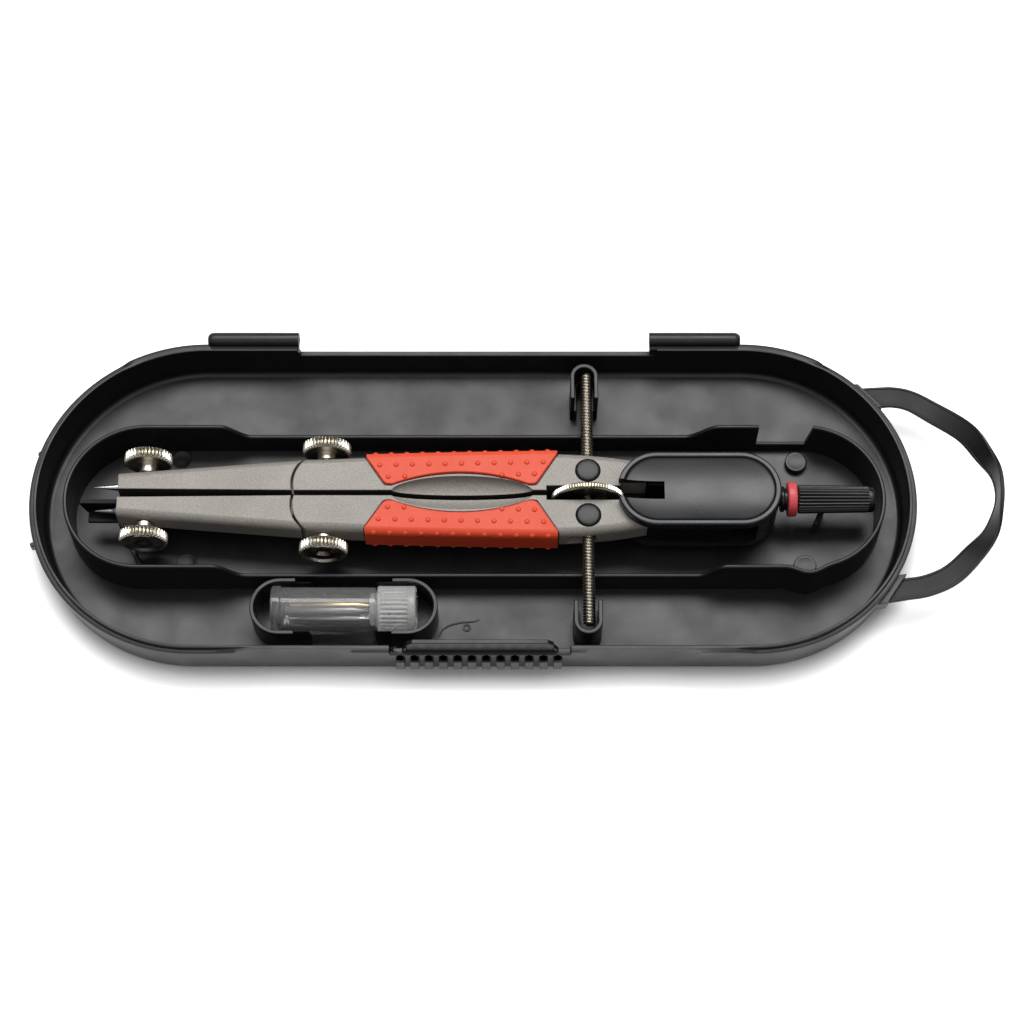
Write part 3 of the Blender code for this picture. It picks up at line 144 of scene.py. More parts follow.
HEAD = surface("head_black_plastic", (0.006, 0.0068, 0.0085), 0.29, speck=0.15, speck_mm=0.8, grain=0.005,
               grain_mm=0.22, Specular_IOR_Level=0.42)
GUARD = surface("guard_black_plastic", (0.0035, 0.004, 0.006), 0.5, speck=0.2, grain=0.003,
                Specular_IOR_Level=0.15)
GRIP = surface("grip_black_plastic", (0.006, 0.0065, 0.008), 0.28, speck=0.1, speck_mm=0.8, grain=0.002)
LEG = surface("leg_grey_paint", (0.245, 0.226, 0.203), 0.48, 0.1, speck=0.30, speck_mm=0.22, smudge=0.04,
              grain=0.004, grain_mm=0.14)
PAD = surface("pad_red_rubber", (0.70, 0.072, 0.028), 0.46, grain=0.004, grain_mm=0.25,
              Specular_IOR_Level=0.3)
RING = surface("ring_red_plastic", (0.60, 0.075, 0.085), 0.40, speck=0.06, grain=0.002)
NICKEL = surface("nickel_plate", (0.60, 0.56, 0.48), 0.24, 1.0, speck_mm=0.5, grain=0.002)
# Painted shade: a dark metal given to the faces in the grooves of threads and knurls.
GROOVE_SHADE = surface("painted_groove_shade", (0.150, 0.137, 0.112), 0.45, 0.8, speck=0.15, speck_mm=0.4,
                 grain=0.003)
STEEL = surface("polished_steel", (0.62, 0.62, 0.61), 0.20, 1.0, speck_mm=0.4, grain=0.001, grain_mm=0.2)
LEAD = surface("graphite", (0.30, 0.30, 0.30), 0.34, 0.7, speck=0.15, speck_mm=0.2, smudge=0.06,
               grain=0.003, grain_mm=0.12)
BRONZE = surface("spare_lead_gilt", (0.75, 0.56, 0.30), 0.28, 0.9, speck=0.2, speck_mm=0.3, grain=0.003,
                 grain_mm=0.2)
TUBE = surface("tube_clear_plastic", (0.97, 0.97, 0.98), 0.05, speck=0.01, speck_mm=2.0, smudge=0.03,
               grain=0.004, grain_mm=1.2, Transmission_Weight=0.94, IOR=1.46)
CAP = surface("cap_frosted_plastic", (0.86, 0.86, 0.85), 0.28, speck=0.03, speck_mm=0.8, grain=0.004,
              Transmission_Weight=0.68, IOR=1.44)


# --- Building blocks ---


def add_object(name, data):
    obj = bpy.data.objects.new(name, data)
    bpy.context.scene.collection.objects.link(obj)
    return obj


def shape(bm):
    """An object with no material yet: the start of a piece, or a cutter for a Boolean."""
    bmesh.ops.remove_doubles(bm, verts=bm.verts, dist=1e-7)
    bmesh.ops.recalc_face_normals(bm, faces=bm.faces)
    mesh = bpy.data.meshes.new("shape")
    bm.to_mesh(mesh)
    bm.free()
    return add_object("shape", mesh)


def new_piece(name, bm, material, body, nodes=(), bevel=0.0, angle=38, segments=2):
    """Makes a shown piece that rides on a body and stands for the CAD nodes named."""
    return dress(shape(bm), name, material, body, nodes, bevel, angle, segments)


def dress(obj, name, material, body, nodes=(), bevel=0.0, angle=38, segments=2):
    """Names a shape, gives it its material and edges, and says what it rides on and stands for.

    bevel is a width in mm, put on the edges sharper than angle, in degrees."""
    obj.name = name
    obj.data.materials.clear()
    obj.data.materials.append(material)
    obj.data.shade_smooth()
    if bevel:
        modifier = obj.modifiers.new("bevel", "BEVEL")
        modifier.width = bevel * MM
        modifier.segments = segments
        modifier.limit_method = "ANGLE"
        modifier.angle_limit = math.radians(angle)
        modifier.use_clamp_overlap = True
        weighted = obj.modifiers.new("normals", "WEIGHTED_NORMAL")
        weighted.keep_sharp = True
    else:
        obj.data.set_sharp_from_angle(angle=math.radians(angle))
    if body:
        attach(obj, body)
    if nodes:
        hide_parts(*nodes)
    return obj


def case_piece(name, bm, bevel=0.0, angle=38, segments=2):
    """A piece of the moulded tray, beside the shell that stands for its CAD node."""
    return new_piece(name, bm, CASE, "case", bevel=bevel, angle=angle, segments=segments)


def paint_groove_shade(obj, centre, low, high, lean=0.3):
    """Paints shade into the grooves of a thread or a knurl whose axis lies along Y: their faces get a darker
    metal.
    """
    obj.data.materials.append(GROOVE_SHADE)
    for face in obj.data.polygons:
        radius = math.hypot(face.center.x - centre.x, face.center.z - centre.z)
        if low * MM < radius < high * MM and abs(face.normal.y) < lean:
            face.material_index = 1


def loft_into(bm, loops, closed=False):
    """Adds a solid through loops of equal length; closed joins the last loop to the first."""
    rings = [[bm.verts.new(point) for point in loop] for loop in loops]
    pairs = list(zip(rings, rings[1:]))
    if closed:
        pairs.append((rings[-1], rings[0]))
    for low, high in pairs:
        for i in range(len(low)):
            j = (i + 1) % len(low)
            bm.faces.new((low[i], low[j], high[j], high[i]))
    if not closed:
        bm.faces.new(list(reversed(rings[0])))
        bm.faces.new(rings[-1])


def loft(loops, closed=False):
    bm = bmesh.new()
    loft_into(bm, loops, closed)
    return bm


def cut(obj, *cutters, operation="DIFFERENCE"):
    """Exact Booleans, applied at once; the cutters are removed."""
    for cutter in cutters:
        modifier = obj.modifiers.new("cut", "BOOLEAN")
        modifier.object = cutter
        modifier.operation = operation
        modifier.solver = "EXACT"
        bpy.context.view_layer.update()
        graph = bpy.context.evaluated_depsgraph_get()
        mesh = bpy.data.meshes.new_from_object(obj.evaluated_get(graph))
        obj.modifiers.clear()
        obj.data = mesh
        bpy.data.objects.remove(cutter, do_unlink=True)
    return obj


def inset(outline, width):
    count = len(outline)
    area = sum(outline[i][0] * outline[(i + 1) % count][1] - outline[(i + 1) % count][0] * outline[i][1]
               for i in range(count))
    side = 1 if area > 0 else -1
    moved = []
    for i in range(count):
        here = Vector(outline[i])
        before = (here - Vector(outline[i - 1])).normalized()
        after = (Vector(outline[(i + 1) % count]) - here).normalized()
        normal = Vector((-before.y, before.x)) * side
        other = Vector((-after.y, after.x)) * side
        share = max(1 + normal.dot(other), 0.5)
        moved.append(tuple(here + (normal + other) * (width / share)))
    return moved


def quarter_turn(steps):
    """Pairs of sine and cosine over a right angle."""
    angles = [math.radians(90) * k / steps for k in range(steps + 1)]
    return [(math.sin(angle), math.cos(angle)) for angle in angles]


def at_height(outline, z):
    return [(x, y, z) for x, y in outline]


def rounded_prism(outline, low, high, radius):
    """A prism whose upper and lower edges are rounded."""
    loops = []
    for end, sign in ((low, 1), (high, -1)):
        for sine, cosine in quarter_turn(4)[::sign]:
            ring = inset(outline, radius * (1 - sine))
            loops.append(at_height(ring, end + sign * radius * (1 - cosine)))
    return shape(loft(loops))


def prism(outline, low, high):
    return loft([at_height(outline, low), at_height(outline, high)])


def across_y(section, near, far):
    """A solid of an x-z section between two values of y, in mm."""
    return loft([[(x * MM, y * MM, z * MM) for x, z in section] for y in (near, far)])


def across_x(section, left, right):
    """A solid of a y-z section between two values of x, in mm."""
    return loft([[(x * MM, y * MM, z * MM) for y, z in section] for x in (left, right)])


def mm(points):
    return [(a * MM, b * MM) for a, b in points]


def rings_round(origin, axis, profile, steps):
    """Rings of points round an axis, one for each place along it and radius."""
    axis = Vector(axis).normalized()
    side = axis.orthogonal().normalized()
    other = axis.cross(side)
    origin = Vector(origin)
    loops = []
    for along, radius in profile:
        ring = []
        for i in range(steps):
            angle = 2 * math.pi * i / steps
            ring.append(origin + axis * along + (side * math.cos(angle) + other * math.sin(angle)) * radius)
        loops.append(ring)
    return loops


def turned(profile, origin, axis, steps):
    """A turned piece; profile holds places along the axis and radii, in mm."""
    return loft(rings_round(origin, axis, mm(profile), steps))


def ribbed(profile, ribs, fineness, groove, place, closed=False):
    """A turned piece with grooves along its axis.

    profile holds places along the axis, radii and depths of the grooves, in mm. groove gives the share of the
    depth across one rib, and place makes a point of the distances along, across and up."""
    loops = []
    for along, radius, depth in profile:
        ring = []
        for i in range(ribs * fineness):
            turn = 2 * math.pi * i / (ribs * fineness)
            reach = (radius - depth * groove((i % fineness) / fineness)) * MM
            ring.append(place(along * MM, reach * math.cos(turn), reach * math.sin(turn)))
        loops.append(ring)
    return loft(loops, closed)


def wave(power):
    """A groove that is deepest in the middle of each step; a higher power makes it narrower."""
    return lambda share: (0.5 - 0.5 * math.cos(2 * math.pi * share)) ** power


def box(low, high):
    outline = [(low[0], low[1]), (high[0], low[1]), (high[0], high[1]), (low[0], high[1])]
    return prism(outline, low[2], high[2])


def arc(centre, radius, start, end, steps):
    points = []
    for i in range(steps + 1):
        angle = math.radians(start + (end - start) * i / steps)
        points.append((centre[0] + radius * math.cos(angle), centre[1] + radius * math.sin(angle)))
    return points


def stadium(x_low, x_high, y_middle, radius, steps=32):
    right = arc((x_high - radius, y_middle), radius, -90, 90, steps)
    left = arc((x_low + radius, y_middle), radius, 90, 270, steps)
    return right + left


def fine(outline, length, closed=True):
    """The outline with extra points, so that no side is longer than length."""
    points = []
    count = len(outline)
    for i in range(count if closed else count - 1):
        here, there = Vector(outline[i]), Vector(outline[(i + 1) % count])
        parts = max(1, math.ceil((there - here).length / length))
        points += [tuple(here.lerp(there, k / parts)) for k in range(parts)]
    return points if closed else points + [outline[-1]]


def corners_rounded(outline, radii, steps):
    """The outline with its corners rounded; radii has one radius per corner."""
    points = []
    count = len(outline)
    for i in range(count):
        here, r = Vector(outline[i]), radii[i]
        if not r:
            points.append(tuple(here))
            continue
        before = Vector(outline[i - 1]) - here
        after = Vector(outline[(i + 1) % count]) - here
        half = before.angle(after) / 2
        reach = min(r / math.tan(half), before.length * 0.45, after.length * 0.45)
        start = here + before.normalized() * reach
        end = here + after.normalized() * reach
        for k in range(steps + 1):
            t = k / steps
            points.append(tuple(start * (1 - t) ** 2 + here * (2 * t * (1 - t)) + end * t * t))
    return points


def smooth_line(knots, steps):
    points = []
    for i in range(len(knots) - 1):
        a = knots[i - 1] if i else knots[0] * 2 - knots[1]
        b, c = knots[i], knots[i + 1]
        d = knots[i + 2] if i + 2 < len(knots) else c * 2 - b
        for step in range(steps):
            t = step / steps
            points.append(0.5 * (2 * b + (c - a) * t + (2 * a - 5 * b + 4 * c - d) * t * t)
                          + 0.5 * (3 * b - a - 3 * c + d) * t**3)
    points.append(knots[-1])
    return points


def at(x, y, z=0.0):
    """A point of the compass, in mm from its own axes, in the row frame."""
    return Vector((x * MM, COMPASS_Y + y * MM, COMPASS_Z + z * MM))


def on_leg(outline, side):
    """An outline in mm on the compass's own axes, mirrored for the front leg."""
    return [(x * MM, COMPASS_Y + side * y * MM) for x, y in outline]


def across_leg(outline, side, half, edge=0.0):
    """A block from half below the compass's middle to half above, with rounded edges if edge is given."""
    outline, low, high = on_leg(outline, side), COMPASS_Z - half * MM, COMPASS_Z + half * MM
    return rounded_prism(outline, low, high, edge * MM) if edge else shape(prism(outline, low, high))


def ease(t):
    t = min(max(t, 0.0), 1.0)
    return t * t * (3 - 2 * t)


def dome_into(bm, centre, normal, radius, height):
    """Adds a round bump, sunk a little below the surface that it stands on."""
    rings = [(-0.8, 1.0)] + quarter_turn(5)[:-1]
    loft_into(bm, rings_round(centre, normal, [(height * rise, radius * reach) for rise, reach in rings], 14))


# --- Tray of the case ---

STRAIGHT = 58.8 * MM  # half of the straight stretch between the round ends
RIM = 36.2 * MM
FOOT = 35.4 * MM
HEIGHT = 11.65 * MM
HINGE_Y = 37.1 * MM
GRIP_RIBS = 12


def tray_stations():
    """Round the tray: the centre that each section turns about, and the section's direction."""
    ends = 84
    right = [(STRAIGHT, math.radians(-90 + 180 * i / ends)) for i in range(ends + 1)]
    left = [(-STRAIGHT, math.radians(90 + 180 * i / ends)) for i in range(ends + 1)]
    back = [(x * MM, math.radians(90)) for x in (50, 40.3, 39.6, 20, 0, -20, -38.2, -38.9, -50)]
    front = [(x * MM, math.radians(270)) for x in
             [-57 + 0.75 * i for i in range(50)] + [-17.3, -17.0, 0, 20.4, 20.7, 25, 35, 45, 55]]
    return right + back + left + front


def lip_share(x, angle):
    """Where the rim has its ledge and tongue: 1 round the two ends, 0 elsewhere."""
    turn = math.degrees(angle)
    if turn < 90:
        return 1 - ease((turn - 61) / 1.5) if turn > 0 else 1.0
    if x > 0 or turn == 90:
        return 0.0
    if turn < 270:
        return ease((turn - 119) / 1.5)
    return 1 - ease((x - -55 * MM) / (9 * MM))


def tray_section(x, angle):
    """Radius and height down one section, in mm, from the foot over the rim to the floor."""
    lip = lip_share(x, angle)
    x, turn = x / MM, math.degrees(angle)
    back = abs(turn - 90) < 0.01 and -38.6 < x < 39.9
    pocket = abs(turn - 270) < 0.01 and -17.15 < x < 20.55
    wave = 0.10 * math.sin(x * 0.9) * math.sin(x * 0.23) if turn > 200 else 0
    foot, rim, low = FOOT / MM, RIM / MM, FLOOR / MM
    inner, tongue = rim - 1.7, rim - (0.7 if back else 1.0) + (0 if lip else 0.1)
    rim -= 0.6 if back else 0
    top = 9.25 if back else 10.0 if pocket else HEIGHT / MM + 0.25 * lip + wave * 0.5
    ledge = top - (0 if back or pocket else 0.9 * lip) - 0.01
    inside, r = tongue - 0.02, 0.16
    section = [(foot - 1.6, 0), (foot - 0.8, 0.12), (foot - 0.25, 0.5), (foot, 1.3), (rim, ledge - r),
               (rim - 0.3 * r, ledge - 0.3 * r), (rim - r, ledge), (tongue + 0.06, ledge),
               (tongue, ledge + 0.005 + 0.06 * lip), (inside, max(top - r, ledge + 0.007)),
               (inside - 0.3 * r, max(top - 0.3 * r, ledge + 0.008)), (inside - r, top), (inner + r, top),
               (inner + 0.3 * r, top - 0.3 * r), (inner, top - r)]
    cove = 1.3
    return section + [(inner - 0.4 - cove * (1 - cosine), low + cove * (1 - sine))
                      for sine, cosine in quarter_turn(6)]


def build_tray():
    stations = tray_stations()
    sections = [mm(tray_section(x, angle)) for x, angle in stations]
    loops = []
    for k in range(len(sections[0])):
        loop = []
        for (x, angle), section in zip(stations, sections):
            r, z = section[k]
            loop.append((x + r * math.cos(angle), r * math.sin(angle), z))
        loops.append(loop)
    shell = shape(loft(loops))
    for x in (-37.2, 35.8):
        bm = bmesh.new()
        bmesh.ops.create_uvsphere(bm, u_segments=96, v_segments=48, radius=1.0)
        bmesh.ops.scale(bm, vec=(12.5 * MM, 1.05 * MM, 8.2 * MM), verts=bm.verts)
        bmesh.ops.translate(bm, vec=(x * MM, -36.4 * MM, HEIGHT), verts=bm.verts)
        cut(shell, shape(bm))
    for index in range(GRIP_RIBS):
        cut(shell, arch_cutter(rib_place(index)))
    dress(shell, "tray_shell", CASE, "case", ["case_tray"], angle=40)


def rib_place(index):
    """Where a grip rib of the latch stands, in mm."""
    return 1.45 + 2.99 * (index - 5.5)


def arch_cutter(x):
    """The round-topped pocket behind a grip rib of the latch."""
    section = [(x - 0.62, 6.6), (x + 0.62, 6.6)] + arc((x, 9.35), 0.62, 0, 180, 14)
    return shape(across_y(section, -36.9, -34.95))


def cradle_path():
    """Points round the ring wall: place, outward normal and the height of the wall's top."""
    radius, straight, shift, y0 = 16.33, 71.0, 0.3, -0.95
    ends = 48
    stations = [(straight, math.radians(-90 + 180 * i / ends)) for i in range(ends + 1)]
    back = [61.75, 61.7] + [60 - i for i in range(16)] + [40 - 8 * i for i in range(11)]
    back += [-46.5 - i for i in range(11)] + [-60, -65]
    stations += [(x - shift, math.radians(90)) for x in back]
    stations += [(-straight, math.radians(90 + 180 * i / ends)) for i in range(ends + 1)]
    front = [-65, -60] + [-57 + i for i in range(11)] + [-40 + 8 * i for i in range(11)]
    front += [45.5 + i for i in range(10)] + [57, 60, 63] + [65 + 0.6 * i for i in range(10)]
    stations += [(x - shift, math.radians(270)) for x in front]
    path = []
    for x, angle in stations:
        px = x + shift + radius * math.cos(angle)
        path.append([px, y0 + radius * math.sin(angle), math.cos(angle), math.sin(angle)])
    return path


def cradle_top(x, y):
    """Height of the ring wall: low along the middle, high round the ends, with a notch at the back."""
    back = y > -0.95
    if back and 61.72 < x < 73.3:
        return 4.7 if x < 72.52 else 4.7 + (13 - 4.7) * (x - 72.52) / 0.8
    right = (46.0, 53.2) if back else (48.0, 53.5)
    if x < 0:
        return 13 - 5 * ease((x + 54.8) / 6.4)
    return 8 + 5 * ease((x - right[0]) / (right[1] - right[0]))


def build_cradle():
    points = cradle_path()
    loops = []
    for x, y, nx, ny in points:
        bulge = 0.0
        if y < -10 and 64.5 < x < 77.5:
            bulge = 1.3 * ease(1 - abs(x - 70.9) / 5.0)
        top = cradle_top(x, y)
        loop = []
        for w, z in ((0.82, 1.5), (0.72, 2.2), (0.47, top - 0.42), (0.38, top - 0.12), (0.17, top),
                     (-0.17, top), (-0.38, top - 0.12), (-0.47, top - 0.42), (-0.66, 2.2), (-0.76, 1.5)):
            reach = w + bulge
            loop.append(((x + nx * reach) * MM, (y + ny * reach) * MM, z * MM))
        loops.append(loop)
    case_piece("cradle_wall", loft(loops, closed=True), angle=50)


def round_ended(centre, radius, wall, start, end, steps, carry):
    """The plan of a wall with one round end; carry moves a point out to the wall's open side."""
    outline = []
    for curve in (arc(centre, radius, start, end, steps), arc(centre, radius - wall, end, start, steps)):
        outline += [carry(curve[0]), *curve, carry(curve[-1])]
    return mm(outline)


def build_spindle_post(name, x, open_y, closed_y):
    """A U-shaped post, thicker low down, with rounded top edges."""
    sign = 1 if closed_y > open_y else -1
    for low, high, wide, wall, part in ((1.5, 12.6, 3.0, 0.9, "post"), (1.5, 6.2, 3.0, 1.5, "foot")):
        middle = closed_y - sign * wide
        start, end = (0, 180) if sign > 0 else (0, -180)
        outline = round_ended((x, middle), wide, wall, start, end, 28, lambda point: (point[0], open_y))
        piece = prism(outline, low * MM, high * MM)
        case_piece(f"{name}_{part}", piece, bevel=0.22, segments=3)


def build_holder(name, sign):
    """One end of the spare tube's holder: a round jaw on two lower walls."""
    half, length = 6.35, 19.8
    centre = (-27.1 + sign * (length - half), -25.1)
    mouth = -37.4 if sign < 0 else -17.0
    start, end = (90, 270) if sign < 0 else (90, -90)
    outline = round_ended(centre, half, 0.9, start, end, 32, lambda point: (mouth, point[1]))
    piece = prism(outline, 1.5 * MM, 10.0 * MM)
    case_piece(name + "_jaw", piece, bevel=0.22, segments=3)
    for side in (-1, 1):
        foot = -34.0 if sign < 0 else -20.3
        wall = [(6.33, 1.5), (6.33, 6.8), (5.55, 9.5), (5.47, 9.4), (5.47, 1.5)]
        wall = across_x([(centre[1] + side * y, z) for y, z in wall], mouth + sign * 0.4, foot)
        case_piece(f"{name}_foot_{side + 1}", wall, bevel=0.08)


def build_barrel(name, sign):
    """A hinge barrel for the lid, and the web under it."""
    inner, length, r = sign * 38.5, 20.1, 1.75
    place, along = (inner * MM, HINGE_Y, HEIGHT), (sign, 0, 0)
    profile = [(0, r * 0.93), (0.12, r)] + [(length - 1.5 + 1.5 * math.sin(math.radians(a)),
              r - 1.0 + 1.0 * math.cos(math.radians(a))) for a in range(0, 91, 15)]
    barrel = shape(turned(profile, place, along, 40))
    cut(barrel, shape(turned([(-1, 0.8), (6, 0.8)], place, along, 24)))
    dress(barrel, name, CASE, "case", bevel=0.1)
    left, right = sorted((inner + sign * 0.1, inner + sign * (length - 0.6)))
    section = [(34.7, 8.6), (36.1, 8.6), (37.4, 10.2), (37.6, 11.6), (36.4, 12.4), (34.7, 11.6)]
    case_piece(name + "_web", across_x(section, left, right), bevel=0.25)


def build_latch():
    middle, half, top = 1.7, 15.3, 14.4
    low, high = middle - half, middle + half
    outline = [(low, 8.0), (high, 8.0), (high, top - 1.35), (high - 1.2, top), (low + 1.2, top),
               (low, top - 1.35)]
    outline = corners_rounded(outline, [0, 0, 0.4, 0.4, 0.4, 0.4], 4)
    case_piece("latch_tongue", across_y(outline, -35.3, -34.3), bevel=0.16, segments=3)
    for name, x, out in (("left", low - 0.05, -1), ("right", high + 0.05, 1)):
        side = [(x, 9.2), (x + out * 1.1, 9.2), (x + out * 0.9, 10.6), (x, 12.6)]
        case_piece("latch_ear_" + name, across_y(side, -35.5, -34.5), bevel=0.14)
    bm = bmesh.new()
    for index in range(GRIP_RIBS):
        x = rib_place(index)
        left, right = x - 0.92, x + 0.92
        section = [(left, -34.9), (right, -34.9), (right, -37.25), (left, -37.25)]
        section = mm(corners_rounded(section, [0, 0, 0.35, 0.35], 5))
        loops = [at_height(section, 4.6 * MM)]
        for sine, cosine in quarter_turn(5):
            loops.append(at_height(inset(section, 0.25 * MM * (1 - cosine)), (8.3 + 0.25 * sine) * MM))
        loft_into(bm, loops)
    ribs = shape(bm)
    for index in range(GRIP_RIBS):
        cut(ribs, arch_cutter(rib_place(index)))
    dress(ribs, "latch_grip_ribs", CASE, "case", angle=40)
    spur = [(-17.3, 9.9), (-16.5, 9.9), (-16.3, 10.6), (-15.6, 11.9), (-16.6, 11.2), (-17.2, 10.8)]
    case_piece("latch_spur", across_y(spur, -35.1, -34.75), bevel=0.05)


def build_floor_marks():
    """Two posts, the moulding's ejector marks and a flow line."""
    for name, x, y, r, top in (("post_back", 70.5, 11.4, 2.4, 3.6), ("post_front", 71.0, -14.1, 2.45, 5.6)):
        profile = [(-0.5, r), (top - 2.3, r), (top - 2.08, r - 0.07), (top - 2.0, r - 0.25),
                   (top - 2.1, r - 0.6)]
        piece = turned(profile, (x * MM, y * MM, FLOOR), (0, 0, 1), 48)
        case_piece("floor_" + name, piece, angle=50)
    for name, x, y in (("a", -64.2, 12.5), ("b", -61.7, -12.0), ("d", -1.3, -27.0)):
        r = 2.3 if name in "ab" else 0.95
        profile = [(-0.3, r), (0.06, r), (0.12, r - 0.08), (0.12, r - 0.3), (0.04, r - 0.4), (0.04, r * 0.2)]
        piece = turned(profile, (x * MM, y * MM, FLOOR), (0, 0, 1), 40)
        case_piece("ejector_mark_" + name, piece, angle=50)
    line = smooth_line([Vector((x * MM, y * MM)) for x, y in ((-7.3, -29.3), (-6.4, -27.5), (-4.7, -26.4),
                                                              (-2.3, -25.8), (0.3, -25.6), (1.6, -25.0))], 6)
    loops = []
    for i, point in enumerate(line):
        ahead = line[min(i + 1, len(line) - 1)] - line[max(i - 1, 0)]
        across = Vector((-ahead.y, ahead.x)).normalized() * MM
        size = math.sin(math.pi * (i + 0.6) / (len(line) + 0.2)) ** 0.5
        loops.append([Vector((*(point + across * (w * size)), FLOOR + z * size * MM))
                      for w, z in ((-0.28, -0.2), (0.28, -0.2), (0.2, 0.1), (0, 0.16), (-0.2, 0.1))])
    case_piece("flow_line", loft(loops), angle=60)


def build_rests():
    """The blades that the compass rests against, and the nubs on the tray's left end."""
    for name, a, b, width, top in (("tip_rest", (-76.4, -3.4), (-71.4, -13.4), 1.0, 4.4),
                                   ("handle_rest", (73.4, -5.2), (75.6, -0.6), 1.0, 7.4)):
        start, end = Vector(a), Vector(b)
        along = (end - start).normalized()
        across = Vector((-along.y, along.x)) * (width / 2)
        outline = [tuple(p * MM) for p in (start + across, start - across, end - across, end + across)]
        case_piece(name, prism(outline, 1.5 * MM, top * MM), bevel=0.25)
    for name, angle in (("upper", 163), ("lower", 197)):
        out = Vector((math.cos(math.radians(angle)), math.sin(math.radians(angle))))
        across = Vector((-out.y, out.x)) * 0.8 * MM
        centre = Vector((-STRAIGHT, 0))
        near, far = RIM - 1.2 * MM, RIM + 0.95 * MM
        outline = [tuple(centre + p) for p in (out * near - across, out * far - across * 0.6,
                                               out * far + across * 0.6, out * near + across)]
        case_piece("end_nub_" + name, prism(outline, 7 * MM, 9.2 * MM), bevel=0.25)


# --- Carrying strap ---

STRAP_LINE = [
    (87.6, 24.7), (91.6, 24.9), (95.6, 24.0), (100.2, 21.2), (107.2, 16.3), (110.9, 10.8),
    (113.1, 6.6), (113.5, 1.8), (112.5, -2.9), (110.6, -7.7), (107.2, -11.9), (101.9, -17.1),
    (96.5, -19.7), (91.6, -20.6), (88.6, -21.1),
]


def meet_end(point, along, radius):
    """Where a line meets a circle round the centre of the tray's right end."""
    start = Vector(point) - Vector((STRAIGHT, 0))
    along = Vector(along).normalized()
    middle = -start.dot(along)
    reach = math.sqrt(radius**2 - (start + along * middle).length_squared)
    return Vector(point) + along * (middle + reach)


def strap_end(last):
    """One end of the strap, and its direction away from the tray."""
    line = [Vector(point) * MM for point in STRAP_LINE]
    here, ahead = (line[-1], line[-2]) if last else (line[0], line[1])
    return here, (ahead - here).normalized()


def build_strap():
    """The band, which turns on edge half way round, and its two lugs."""
    route = smooth_line([Vector((x * MM, y * MM, 8.0 * MM)) for x, y in STRAP_LINE], 8)
    inner = [p for p in route if min((p - e).length for e in (route[0], route[-1])) > 3.2 * MM]
    route = [route[0], *inner, route[-1]]
    ends = {0: strap_end(False), len(route) - 1: strap_end(True)}
    w, t = 2.4, 0.45
    half = [(-w + 0.12, -t), (-w + 0.5, -t), (-w + 0.62, -t + 0.14), (w - 0.62, -t + 0.14),
            (w - 0.5, -t), (w - 0.12, -t), (w, -t + 0.12), (w, t - 0.12)]
    section = half + [(-a, -b) for a, b in half]
    loops = []
    for i, point in enumerate(route):
        ahead = route[min(i + 1, len(route) - 1)] - route[max(i - 1, 0)]
        across = Vector((-ahead.y, ahead.x, 0)).normalized()
        share = min(max((i / (len(route) - 1) - 0.1) / 0.8, 0), 1)
        twist = math.radians(85) * math.sin(math.pi * share) ** 2
        flat = across * math.cos(twist) + Vector((0, 0, 1)) * math.sin(twist)
        thick = across * -math.sin(twist) + Vector((0, 0, 1)) * math.cos(twist)
        ring = []
        for a, b in section:
            corner = point + flat * (a * MM) + thick * (b * MM)
            if i in ends:
                start = meet_end(corner.xy, ends[i][1], 37.0 * MM)
                corner = Vector((start.x, start.y, corner.z))
            ring.append(corner)
        loops.append(ring)
    new_piece("strap_band", loft(loops), STRAP, "case", ["carry_strap"], angle=30)
    for name, last in (("back", False), ("front", True)):
        here, along = strap_end(last)

        def band(start, end, width, height, middle=8.0 * MM):
            across = Vector((-along.y, along.x)) * (width / 2)
            outline = [meet_end(here - across, along, start), meet_end(here - across, along, end)]
            outline += [meet_end(here + across, along, end), meet_end(here + across, along, start)]
            return prism([tuple(p) for p in outline], middle - height / 2, middle + height / 2)

        lug = shape(band(35.5 * MM, 37.5 * MM, 5.9 * MM, 3.0 * MM))
        cut(lug, shape(band(36.7 * MM, 42 * MM, 5.4 * MM, 1.5 * MM)))
        dress(lug, "strap_lug_" + name, CASE, "case", bevel=0.15)


# --- Spare tube ---

TUBE_Y, TUBE_Z = -25.1 * MM, 8.0 * MM


def build_tube():
    origin = (-42.3 * MM, TUBE_Y, TUBE_Z)
    profile = [(0.0, 4.7), (0.12, 4.9), (0.3, 4.95), (1.8, 4.95), (2.0, 4.88), (2.12, 4.7), (2.3, 4.66),
               (21.7, 4.62), (21.95, 4.55), (22.0, 4.35), (22.0, 4.0), (21.8, 3.92), (1.6, 3.9), (1.35, 3.8),
               (1.2, 3.5), (1.2, 0.4)]
    piece = turned(profile, origin, (1, 0, 0), 72)
    new_piece("tube_body", piece, TUBE, "tube_body", ["spare_tube"], angle=50)
    for name, y, z, r, material, node, slot in (
        ("stick_a", 1.6, -1.9, 1.0, BRONZE, "spare_lead_1", "graphite"),
        ("stick_b", -1.0, 1.6, 1.0, LEAD, "spare_lead_2", "graphite"),
        ("stick_c", -1.6, -1.6, 0.65, STEEL, "spare_needle", "steel"),
    ):
        profile = [(0, r * 0.85), (0.15, r), (14.3, r), (17.1, 0.14), (17.3, 0.06)]
        stick = turned(profile, (-39.5 * MM, TUBE_Y + y * MM, TUBE_Z + z * MM), (1, 0, 0), 24)
        new_piece(name, stick, material, "tube_body", [node], angle=50)


